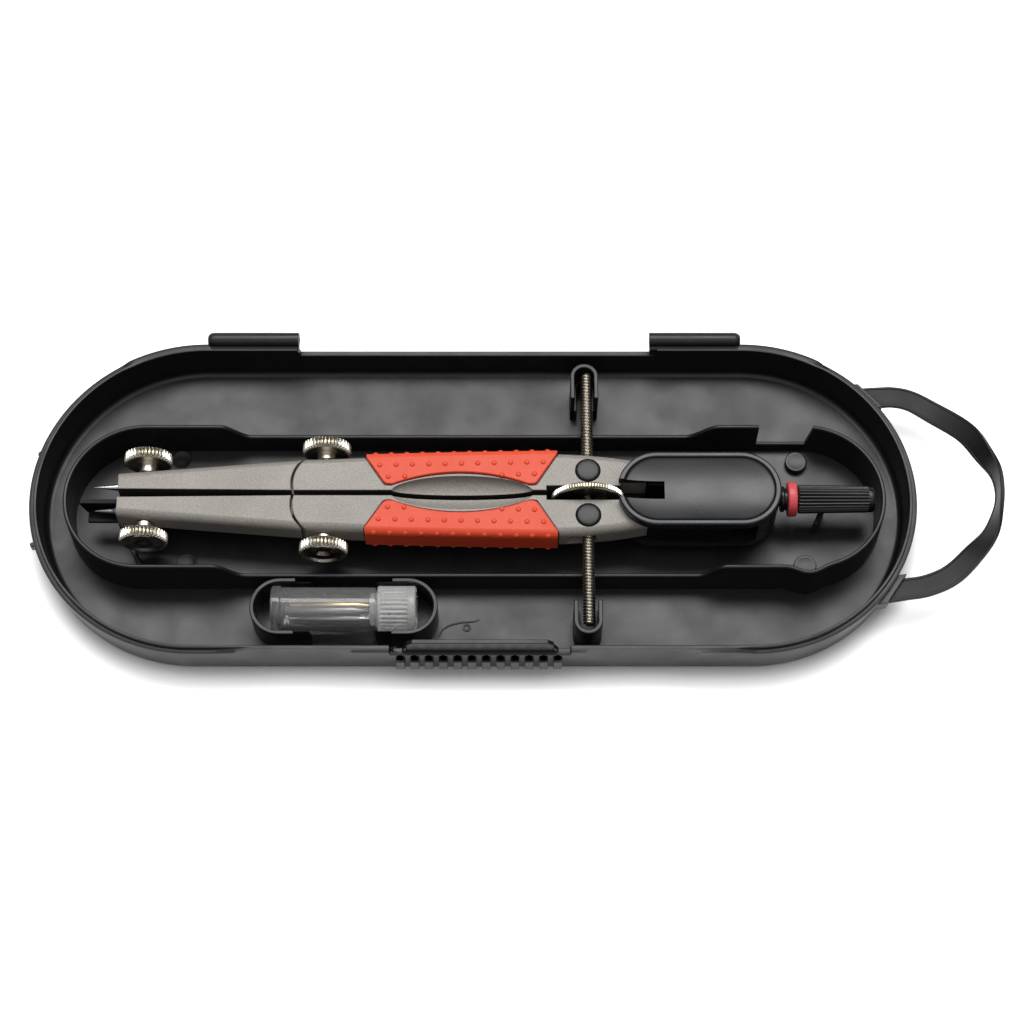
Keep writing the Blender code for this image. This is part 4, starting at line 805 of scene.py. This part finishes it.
def build_tube_cap():
    start = -20.0 * MM
    profile = [(-1.6, 3.55, 0), (-1.5, 3.65, 0), (0.0, 3.7, 0), (0.0, 4.6, 0), (0.12, 4.85, 0),
               (0.25, 4.95, 0), (0.75, 4.95, 0), (0.85, 4.9, 0.1), (0.95, 4.88, 0.26), (6.3, 4.88, 0.26),
               (6.4, 4.88, 0.1), (6.5, 4.9, 0), (7.6, 4.9, 0), (7.95, 4.82, 0), (8.15, 4.55, 0),
               (8.2, 4.2, 0), (8.0, 3.9, 0), (7.95, 0.6, 0)]
    cap = ribbed(profile, 30, 6, wave(3),
                 lambda along, across, up: (start + along, TUBE_Y + across, TUBE_Z + up))
    new_piece("tube_cap_ribbed", cap, CAP, "cap_body", ["tube_cap"], angle=50)


# --- Head and handle ---


def head_half(name, sign, node):
    """A cheek with a raised bead round a shallow dish."""
    face, bead, drop = 5.95, 1.3, 0.38
    outline = fine(stadium(30.7, 65.4, 0.0, 8.5, 36), 1.2)

    def ring(width, z):
        return [tuple(at(x, y, sign * z)) for x, y in inset(outline, width)]

    loops = [ring(0.0, 0.15)]
    for sine, cosine in quarter_turn(6):
        loops.append(ring(0.4 * (1 - cosine), face - drop + drop * sine))
    for sine, cosine in quarter_turn(6):
        loops.append(ring(bead - 0.4 * (1 - sine), face - drop + drop * cosine))
    for width in (0.1, 0.5, 1.0, 1.7, 2.5, 3.4, 4.4, 5.4, 6.3, 7.0):
        share = 1 - width / 7.2
        loops.append(ring(bead + width, face - drop - 0.06 - 0.85 * (1 - share * share)))
    shell = shape(loft(loops))
    low, high = sorted((sign * -2.0, sign * 3.75))
    room = box(at(28, -10, low), at(60.4, 10, high))
    slot = across_leg([(28, -2.0), (40.7, -2.05), (40.7, 2.05), (28, 2.2)], 1, 8)
    stem = turned([(60.9, 2.7), (63.1, 2.7), (63.1, 1.8), (66, 1.8)], at(0, 0), (1, 0, 0), 32)
    cut(shell, shape(room), slot, shape(stem))
    dress(shell, name, HEAD, "head", [node], angle=42)


def build_head():
    head_half("head_cheek_upper", 1, "head_shell_upper")
    head_half("head_cheek_lower", -1, "head_shell_lower")
    for name, side in (("back", 1), ("front", -1)):
        profile = [(-4.6, 1.1), (-4.45, 1.25), (4.45, 1.25), (4.6, 1.1)]
        pin = turned(profile, at(PIVOT[0], side * PIVOT[1]), (0, 0, 1), 32)
        new_piece("pivot_" + name, pin, STEEL, "head", ["pivot_pin_" + name], angle=50)


def build_handle():
    """The neck that runs through the head's end, the coloured ring and the ribbed grip."""
    profile = [(61.3, 2.3), (61.4, 2.4), (62.7, 2.4), (62.8, 2.3), (62.8, 1.5), (65.6, 1.5), (65.6, 2.6),
               (65.75, 2.75), (66.3, 2.75), (66.45, 2.6), (66.55, 2.35), (66.95, 2.35), (66.95, 1.5),
               (82.9, 1.5), (83.0, 1.4)]
    stem = turned(profile, at(0, 0), (1, 0, 0), 48)
    new_piece("handle_neck", stem, HEAD, "head", ["handle_stem"], angle=45)
    profile = [(67.1, 1.8), (67.1, 3.4), (67.17, 3.6), (67.38, 3.75), (68.75, 3.75), (68.96, 3.6),
               (69.05, 3.4), (69.05, 1.8)]
    ring = turned(profile, at(0, 0), (1, 0, 0), 64)
    new_piece("handle_ring", ring, RING, "head", ["colour_ring"], angle=50)
    profile = [(69.35, 2.5, 0), (69.35, 2.8, 0.05), (69.45, 3.0, 0.25), (69.7, 3.12, 0.40),
               (84.2, 2.88, 0.38), (84.4, 2.86, 0.05), (84.5, 2.85, 0), (85.2, 2.8, 0), (85.55, 2.65, 0),
               (85.7, 2.4, 0), (85.5, 2.2, 0)]
    middle = at(0, 0)
    grip = ribbed(profile, 24, 8, wave(2),
                  lambda along, across, up: (along, middle.y + across, middle.z + up))
    new_piece("handle_grip_ribbed", grip, GRIP, "head", ["handle_grip"], angle=60)


# --- Legs ---


def knee_arc(radius, top):
    """The round end of a leg at the knee, from the gap between the legs out to top."""
    low = 180 + math.degrees(math.asin((KNEE[1] - 0.55) / radius))
    high = 180 - math.degrees(math.asin((top - KNEE[1]) / radius))
    return arc(KNEE, radius, low, high, 24)


def upper_edge():
    """The outer edge of an upper leg, from the knee to the head."""
    knots = ((-41, 8.15), (-37.5, 8.25), (-34, 8.33), (-30, 8.45), (-23, 8.75), (-12, 9.05), (-2, 9.3),
             (8, 9.5), (18, 9.6), (24.6, 9.25), (31, 8.55), (37.0, 7.5), (38.5, 7.2))
    return [tuple(p) for p in smooth_line([Vector(p) for p in knots], 3)]


def pad_outline(grow=0.0):
    """The grip pad seen from above, with rounded corners."""
    left, right = -22.8 - grow, 18.0 + grow
    low_left, low_right = -18.9 - grow, 13.6 + grow
    foot, rise = 1.9 - grow, 2.75
    chord = (low_left + 1.9, low_right - 1.9)
    half = (chord[1] - chord[0]) / 2
    radius = (half * half + rise * rise) / (2 * rise)
    middle = ((chord[0] + chord[1]) / 2, foot + rise - radius)
    sweep = math.degrees(math.asin(half / radius))
    lower = arc(middle, radius, 90 + sweep, 90 - sweep, 36)
    outline = [(left, 12.0), (left, 8.0), (low_left + 0.2, foot)] + lower
    outline += [(low_right - 0.2, foot), (right, 9.0), (right, 12.0)]
    radii = [0, 1.2, 1.5] + [0] * len(lower) + [1.5, 1.2, 0]
    return corners_rounded(outline, radii, 8)


def edge_cutter(line, side, radius, half):
    """What lies outside a slab's outer face, whose upper and lower edges are rounded."""
    loops = []
    for x, y in line:
        curve = []
        for turn in range(10, 91, 8):
            angle = math.radians(turn)
            curve.append((y - radius + radius * math.sin(angle), half - radius + radius * math.cos(angle)))
        start = (curve[0][0] - 0.30, curve[0][1] + 0.053)
        upper = [(start[0], half + 1.0), start, *curve]
        lower = [(across, -z) for across, z in reversed(upper)]
        section = [(y + 6.0, half + 1.0), *upper, *lower, (y + 6.0, -half - 1.0)]
        loops.append([tuple(at(x, side * across, z)) for across, z in section])
    return shape(loft(loops))


def slab(outline, line, side, half, radius, edge):
    """A slab with small rounded edges all round and a well rounded outer face along a line."""
    return cut(across_leg(outline, side, half, edge), edge_cutter(line, side, radius, half))


def upper_leg_outline():
    rest = [(-33.8, 9.8), (37.0, 11.0), (37.0, 2.9), (31.5, 2.9), (31.5, 1.6), (15.7, 1.6), (15.7, 0.55)]
    return knee_arc(7.05, 8.4) + fine(rest, 2.0, closed=False)


def lens_cutter(face):
    """The shallow dish across both legs, between the pads."""
    bm = bmesh.new()
    bmesh.ops.create_uvsphere(bm, u_segments=96, v_segments=32, radius=1.0)
    bmesh.ops.scale(bm, vec=(15.2 * MM, 3.9 * MM, 2.8 * MM), verts=bm.verts)
    bmesh.ops.translate(bm, vec=at(-2.3, 0, face * LEG_HALF), verts=bm.verts)
    return shape(bm)


def paint_gap_shade(leg, side):
    """The faces that look into the gap between the legs get a darker grey, as painted shade for the shade
    between the legs.
    """
    leg.data.materials.append(GAP_SHADE)
    for face in leg.data.polygons:
        if -side * face.normal.y > 0.8 and abs(face.center.y - COMPASS_Y) < 1.8 * MM:
            face.material_index = 1


SLOT_HALF = 1.7
SLOT_REACH = 9.0


def spindle_slots():
    """Outlines of the room that the spindle needs in a leg, as the leg swings 30 degrees round its nut."""
    left, right = SPINDLE_X - SLOT_HALF, SPINDLE_X + SLOT_HALF
    low, high = NUT_Y - SLOT_REACH - 0.2, NUT_Y + SLOT_REACH
    outlines = [[(left, low), (right, low), (right, high), (left, high)]]
    swing = []
    for reach, turn, wide, lean in ((0, 90, SLOT_HALF, 0), (SLOT_REACH, 90, SLOT_HALF, 0), (9.7, 105, 0, 0),
                                    (SLOT_REACH, 120, SLOT_HALF, 210), (0, 120, SLOT_HALF, 210)):
        turn, lean = math.radians(turn), math.radians(lean)
        swing.append((reach * math.cos(turn) + wide * math.cos(lean),
                      reach * math.sin(turn) + wide * math.sin(lean)))
    for way in (1, -1):
        outlines.append([(SPINDLE_X + way * x, NUT_Y + way * y) for x, y in swing])
    return outlines


def build_upper_leg(label, side):
    body = "leg_" + label
    leg = slab(upper_leg_outline(), upper_edge(), side, LEG_HALF, LEG_ROUND, LEG_EDGE)
    pocket = across_leg(pad_outline(0.3), side, 5)
    core = [(-30, 0), (25, 0), (25, 8.7), (18, 8.75), (-2, 8.4), (-30, 7.8)]
    cut(pocket, across_leg(core, side, 2.9))
    cut(leg, pocket, lens_cutter(1), lens_cutter(-1))
    nut = turned([(-5, 2.75), (5, 2.75)], at(SPINDLE_X, side * NUT_Y), (0, 0, 1), 64)
    knee = [(-31.3, 4.5), (-42, 4.5), (-42, -8), (-30.0, 0.7), (-29.2, 2.4), (-29.8, 3.9)]
    cut(leg, shape(nut))
    for outline in spindle_slots():
        cut(leg, across_leg(outline, side, SLOT_HALF))
    cut(leg, across_leg(knee, side, 1.5))
    dress(leg, "leg_upper_" + label, LEG, body, ["upper_leg_" + label], bevel=0.1, angle=50)
    paint_gap_shade(leg, side)
    build_pad(label, side)
    build_root(label, side)
    pin = turned([(-3.4, 1.0), (2.4, 1.0)], at(KNEE[0], side * KNEE[1]), (0, 0, 1), 32)
    new_piece("knee_axle_" + label, pin, STEEL, body, ["knee_pin_" + label], angle=50)


def build_pad(label, side):
    """A grip pad, and the rows of dots on its two faces and along its rounded edges."""
    half, rounded = 3.95, 1.7
    edge = [(-24, 9.37), (-23, 9.4), (-2, 9.95), (18.5, 10.3), (19.5, 10.32)]
    pad = slab(pad_outline(), edge, side, half, rounded, 0.3)
    bm = bmesh.new()
    spots = []
    for face in (1, -1):
        for i in range(11):
            x = -19.9 + 3.49 * i
            spots.append(((x, 6.65 + 0.020 * (x + 2), face * half), (0, 0, face)))
        for x in (-18.0, -14.5, 6.2, 9.7, 13.1):
            spots.append(((x, 3.85 + 0.02 * (x + 2), face * half), (0, 0, face)))
        for i in range(12):
            x = -20.9 + 3.35 * i
            lean = math.radians(60)
            y = 9.47 + 0.022 * (x + 20) - rounded + rounded * math.sin(lean)
            z = half - rounded + rounded * math.cos(lean)
            spots.append(((x, y, face * z), (0, math.sin(lean), face * math.cos(lean))))
    for (x, y, z), (nx, ny, nz) in spots:
        dome_into(bm, at(x, side * y, z), (nx, side * ny, nz), 0.58 * MM, 0.30 * MM)
    dress(pad, "pad_" + label, PAD, "leg_" + label, ["grip_pad_" + label], bevel=0.12, angle=40)
    new_piece("pad_dots_" + label, bm, PAD, "leg_" + label, angle=60)


def build_root(label, side):
    """The black end of a leg inside the head, with two grooves round its outer side."""
    outline = [(37.25, 1.9), (44.0, 1.4)]
    outline += arc(PIVOT, 2.5, -110, 10, 20)
    outline += arc((52.3, 4.0), 4.3, 10, 90, 16)
    outline += [(44.0, 8.2), (40.5, 7.9), (37.25, 7.4)]
    root = across_leg(outline, side, 3.4, 0.3)
    hole = turned([(-5, 1.4), (5, 1.4)], at(PIVOT[0], side * PIVOT[1]), (0, 0, 1), 40)
    cut(root, shape(hole))
    skin = [(34, 7.0), (44, 7.95), (60, 8.1), (60, 9.5), (34, 9.5)]
    for z in (-0.1, 1.9):
        groove = shape(box(at(35, -10, z), at(60, 10, z + 0.25)))
        cut(root, cut(groove, across_leg(skin, side, 5), operation="INTERSECT"))
    dress(root, "root_" + label, GUARD, "leg_" + label, ["hinge_root_" + label], bevel=0.08,
          angle=50)


def build_lower_leg(label, side):
    body = "lower_" + label
    outline = knee_arc(7.5, 8.0) + [(-36.6, 8.8), (-38.0, 10.0)]
    outline += fine([(-75.6, 10.0), (-75.6, 0.9)], 1.0, closed=False)
    outline += fine([(-75.6, 0.9), (-55, 0.72), (-38.0, 0.55)], 4.0, closed=False)[1:-1]
    edge = [(-77, 4.88), (-75.6, 5.0), (-60, 6.28), (-38.0, 8.07), (-35.0, 8.3)]
    leg = slab(outline, edge, side, LEG_HALF, LEG_ROUND, LEG_EDGE)
    tongue = arc(KNEE, 1.8, 90, -90, 24) + [(-41, KNEE[1] - 1.8), (-41, KNEE[1] + 1.8)]
    cut(leg, across_leg(tongue, side, 1.2), operation="UNION")
    bore = 0.85 if side > 0 else 1.15
    hole = turned([(-77, bore), (-54, bore)], at(0, side * TIP_BORE_Y), (1, 0, 0), 32)
    neck = turned([(3.6, 1.6), (9, 1.6)], at(TIP_SCREW_X, 0), (0, side, 0), 40)
    pin = turned([(-5, 1.15), (5, 1.15)], at(KNEE[0], side * KNEE[1]), (0, 0, 1), 32)
    cut(leg, shape(hole), shape(neck), shape(pin))
    dress(leg, "leg_lower_" + label, LEG, body, ["lower_leg_" + label], bevel=0.1, angle=50)
    paint_gap_shade(leg, side)


def thumb_screw(kind, label, x, side, shank_end, neck, face):
    """A knurled head on a neck. The side face is stepped, with a dimple in the middle.

    shank_end, neck and face are distances from the compass's middle line, in mm. The back leg's screws show
    a raised face, and the front leg's a sunk one."""
    rim = [(0.05, 2.05, 0), (0.12, 2.5, 0), (0.1, 4.0, 0), (0, 4.35, 0), (0.05, 4.65, 0.05),
           (0.2, 4.95, 0.40), (0.4, 5.2, 0.55), (2.1, 5.2, 0.55), (2.3, 4.95, 0.40), (2.4, 4.65, 0.05),
           (2.45, 4.35, 0)]
    if side > 0:
        rim += [(2.25, 4.0, 0), (2.2, 3.85, 0), (2.3, 3.6, 0), (2.3, 2.4, 0), (2.2, 1.9, 0), (1.9, 1.3, 0),
                (1.8, 0.5, 0)]
    else:
        rim += [(2.2, 4.1, 0), (1.95, 3.9, 0), (1.9, 3.2, 0), (2.0, 3.05, 0), (2.0, 2.2, 0), (1.9, 2.0, 0),
                (1.5, 1.5, 0), (1.2, 0.9, 0), (1.2, 0.4, 0)]
    profile = [(shank_end, 1.15, 0), (shank_end + 0.15, 1.3, 0), (neck, 1.3, 0), (neck, 1.9, 0),
               (neck + 0.1, 2.05, 0)]
    profile += [(face + along, radius, depth) for along, radius, depth in rim]
    centre = at(x, 0)
    screw = ribbed(profile, 38, 6, lambda share: abs(2 * share - 1) ** 1.1,
                   lambda along, across, up: (centre.x + across, centre.y + side * along, centre.z + up))
    node = f"{kind}_screw_{label}"
    screw = new_piece(f"screw_{kind}_{label}", screw, NICKEL, node.replace("screw_", "screw_body_"), [node],
                      angle=32)
    paint_groove_shade(screw, centre, 4.5, 4.86)


def build_points():
    profile = [(-81.3, 0.03), (-81.1, 0.07), (-76.2, 0.72), (-75.6, 0.75), (-61.1, 0.75), (-61.0, 0.65)]
    piece = turned(profile, at(0, TIP_BORE_Y), (1, 0, 0), 40)
    new_piece("needle_point", piece, STEEL, "needle_body", ["needle"], angle=50)
    profile = [(-80.7, 0.06), (-80.5, 0.12), (-77.2, 0.52), (-76.6, 0.56), (-76.4, 0.8), (-75.9, 0.95),
               (-75.4, 1.0), (-61.1, 1.0), (-61.0, 0.9)]
    piece = turned(profile, at(0, -TIP_BORE_Y), (1, 0, 0), 40)
    new_piece("lead_point", piece, LEAD, "lead_body", ["lead"], angle=50)


def build_guard():
    """The black plate behind the lead, with the shelf and tongue that carry it."""
    wall = [(-82.6, -2.9), (-75.9, -2.9), (-75.9, 2.1), (-83.9, 2.1)]
    wall = corners_rounded(wall, [0.3, 0, 0, 0.3], 4)
    guard = shape(loft([[tuple(at(x, y, z)) for x, z in wall] for y in (-1.85, -0.95)]))
    shelf = box(at(-82.3, -4.3, -2.9), at(-75.9, -1.15, -2.0))
    tongue = box(at(-76.9, -3.6, -2.7), at(-72.0, -1.9, -2.05))
    cut(guard, shape(shelf), shape(tongue), operation="UNION")
    dress(guard, "guard", GUARD, "lower_front", ["lead_guard"], bevel=0.12)


# --- Spindle ---


def build_nuts():
    for label, side in (("back", 1), ("front", -1)):
        place = at(SPINDLE_X, side * NUT_Y)
        profile = [(-3.85, 1.9), (-3.8, 2.25), (-3.6, 2.48), (-3.3, 2.6), (3.3, 2.6), (3.6, 2.5), (3.8, 2.3),
                   (3.86, 2.05), (3.92, 1.3), (3.95, 0.5)]
        nut = shape(turned(profile, place, (0, 0, 1), 64))
        hole = turned([(-5, 1.6), (5, 1.6)], place, (0, 1, 0), 40)
        cut(nut, shape(hole))
        dress(nut, "nut_cap_" + label, NUT, "nut_body_" + label, ["trunnion_nut_" + label], angle=50)


def build_thread():
    steps, pitch, half, per_turn = 32, 0.72, 29.25, 10
    taper = 0.6
    rings = int(2 * half / pitch * per_turn)
    centre = at(SPINDLE_X, 0.45)
    loops = []
    for k in range(rings + 1):
        along = -half + 2 * half * k / rings
        end = min(half - abs(along), taper) / taper
        ring = []
        for i in range(steps):
            turn = i / steps
            phase = (along / pitch - turn) % 1.0
            tooth = min(1.0, max(0.0, 1.35 - abs(2 * phase - 1) * 1.9))
            radius = (0.93 + 0.42 * tooth) * (0.78 + 0.22 * end) * MM
            angle = 2 * math.pi * turn
            ring.append((centre.x + radius * math.cos(angle), centre.y + along * MM,
                         centre.z + radius * math.sin(angle)))
        loops.append(ring)
    rod = new_piece("spindle_thread", loft(loops), NICKEL, "spindle_body", ["spindle"], angle=70)
    paint_groove_shade(rod, centre, 0.5, 1.05, 2.0)


def build_wheel():
    """The knurled wheel on the spindle, with a thinner web between its hub and rim."""
    centre = at(SPINDLE_X, 0.1)
    side = [(0.42, 7.8, 0.38), (0.6, 7.5, 0.25), (0.66, 7.1, 0.02), (0.66, 6.8, 0), (0.5, 6.3, 0),
            (0.42, 4.8, 0), (0.5, 2.9, 0), (0.68, 2.4, 0), (0.65, 1.56, 0)]
    profile = [(-along, radius, depth) for along, radius, depth in reversed(side)] + side
    wheel = ribbed(profile, 76, 6, lambda share: abs(2 * share - 1),
                   lambda along, across, up: (centre.x + across, centre.y + along, centre.z + up),
                   closed=True)
    wheel = new_piece("wheel_knurled", wheel, NICKEL, "wheel_body", ["centre_wheel"], angle=32)
    paint_groove_shade(wheel, centre, 7.3, 7.56)


# --- Stage ---


def build_stage():
    """A white sheet that gives off painted light, fading close to the tray so that only a contact shadow
    shows.
    """
    bm = bmesh.new()
    bmesh.ops.create_grid(bm, x_segments=1, y_segments=1, size=1.6)
    mesh = bpy.data.meshes.new("floor")
    bm.to_mesh(mesh)
    bm.free()
    floor = add_object("floor", mesh)
    paper = surface("floor_paper", (0.93, 0.93, 0.925), 0.9, speck=0.003, speck_mm=5.0, smudge=0.0)
    tree = paper.node_tree
    # Painted light: the paper emits, less where the tray occludes it, by ambient occlusion.
    contact = tree.nodes.new("ShaderNodeAmbientOcclusion")
    contact.inputs["Distance"].default_value = 8 * MM
    painted_glow = remap(tree, contact.outputs["AO"], 0.52, 0.82, 0.0, 0.6)
    shader = tree.nodes["Principled BSDF"]
    shader.inputs["Emission Color"].default_value = (1.0, 1.0, 0.995, 1.0)
    tree.links.new(painted_glow, shader.inputs["Emission Strength"])
    floor.data.materials.append(paper)
    floor.location.z = -0.2 * MM


def area_light(name, place, size, power):
    """A rectangular lamp that points at the middle of the tray."""
    light = bpy.data.lights.new(name, "AREA")
    light.shape = "RECTANGLE"
    light.size, light.size_y = size
    light.energy = power
    obj = add_object(name, light)
    obj.location = place
    obj.rotation_euler = (-Vector(place)).to_track_quat("-Z", "Y").to_euler()


def build_lights():
    """A soft box behind the tray, and a white ceiling that fades to a dark room."""
    world = bpy.data.worlds.new("studio")
    world.use_nodes = True
    tree = world.node_tree
    tree.nodes["Background"].inputs["Color"].default_value = (1.0, 1.0, 1.0, 1.0)
    split = tree.nodes.new("ShaderNodeSeparateXYZ")
    tree.links.new(tree.nodes.new("ShaderNodeTexCoord").outputs["Generated"], split.inputs[0])
    fade = remap(tree, split.outputs["Z"], 0.35, 1.0, 0.03, 0.95)
    tree.links.new(fade, tree.nodes["Background"].inputs["Strength"])
    bpy.context.scene.world = world
    area_light("softbox", (0.02, 0.37, 0.80), (0.95, 0.34), 6.9)


def build_camera():
    data = bpy.data.cameras.new("camera")
    data.lens = 81.3
    data.sensor_width = 36.0
    data.clip_start, data.clip_end = 0.01, 10.0
    camera = add_object("camera", data)
    camera.location = (0.00833, -0.2047, 0.4618)
    camera.rotation_euler = (math.radians(24.0), 0, 0)
    bpy.context.scene.camera = camera
    bpy.context.scene.view_settings.view_transform = "Standard"


build_tray()
build_cradle()
build_spindle_post("spindle_post_back", 24.1, 22.4, 30.8)
build_spindle_post("spindle_post_front", 24.3, -24.8, -32.3)
build_holder("holder_left", -1)
build_holder("holder_right", 1)
build_barrel("hinge_barrel_right", 1)
build_barrel("hinge_barrel_left", -1)
build_latch()
build_floor_marks()
build_rests()
build_strap()
build_tube()
build_tube_cap()
build_head()
build_handle()
for leg_label, leg_side in (("back", 1), ("front", -1)):
    build_upper_leg(leg_label, leg_side)
    build_lower_leg(leg_label, leg_side)
    thumb_screw("knee", leg_label, KNEE_SCREW_X, leg_side, 7.8, 8.85, 10.35)
    thumb_screw("tip", leg_label, TIP_SCREW_X, leg_side, 4.05 if leg_side < 0 else 3.7, 5.85, 7.9)
build_points()
build_guard()
build_nuts()
build_thread()
build_wheel()
build_stage()
build_lights()
build_camera()
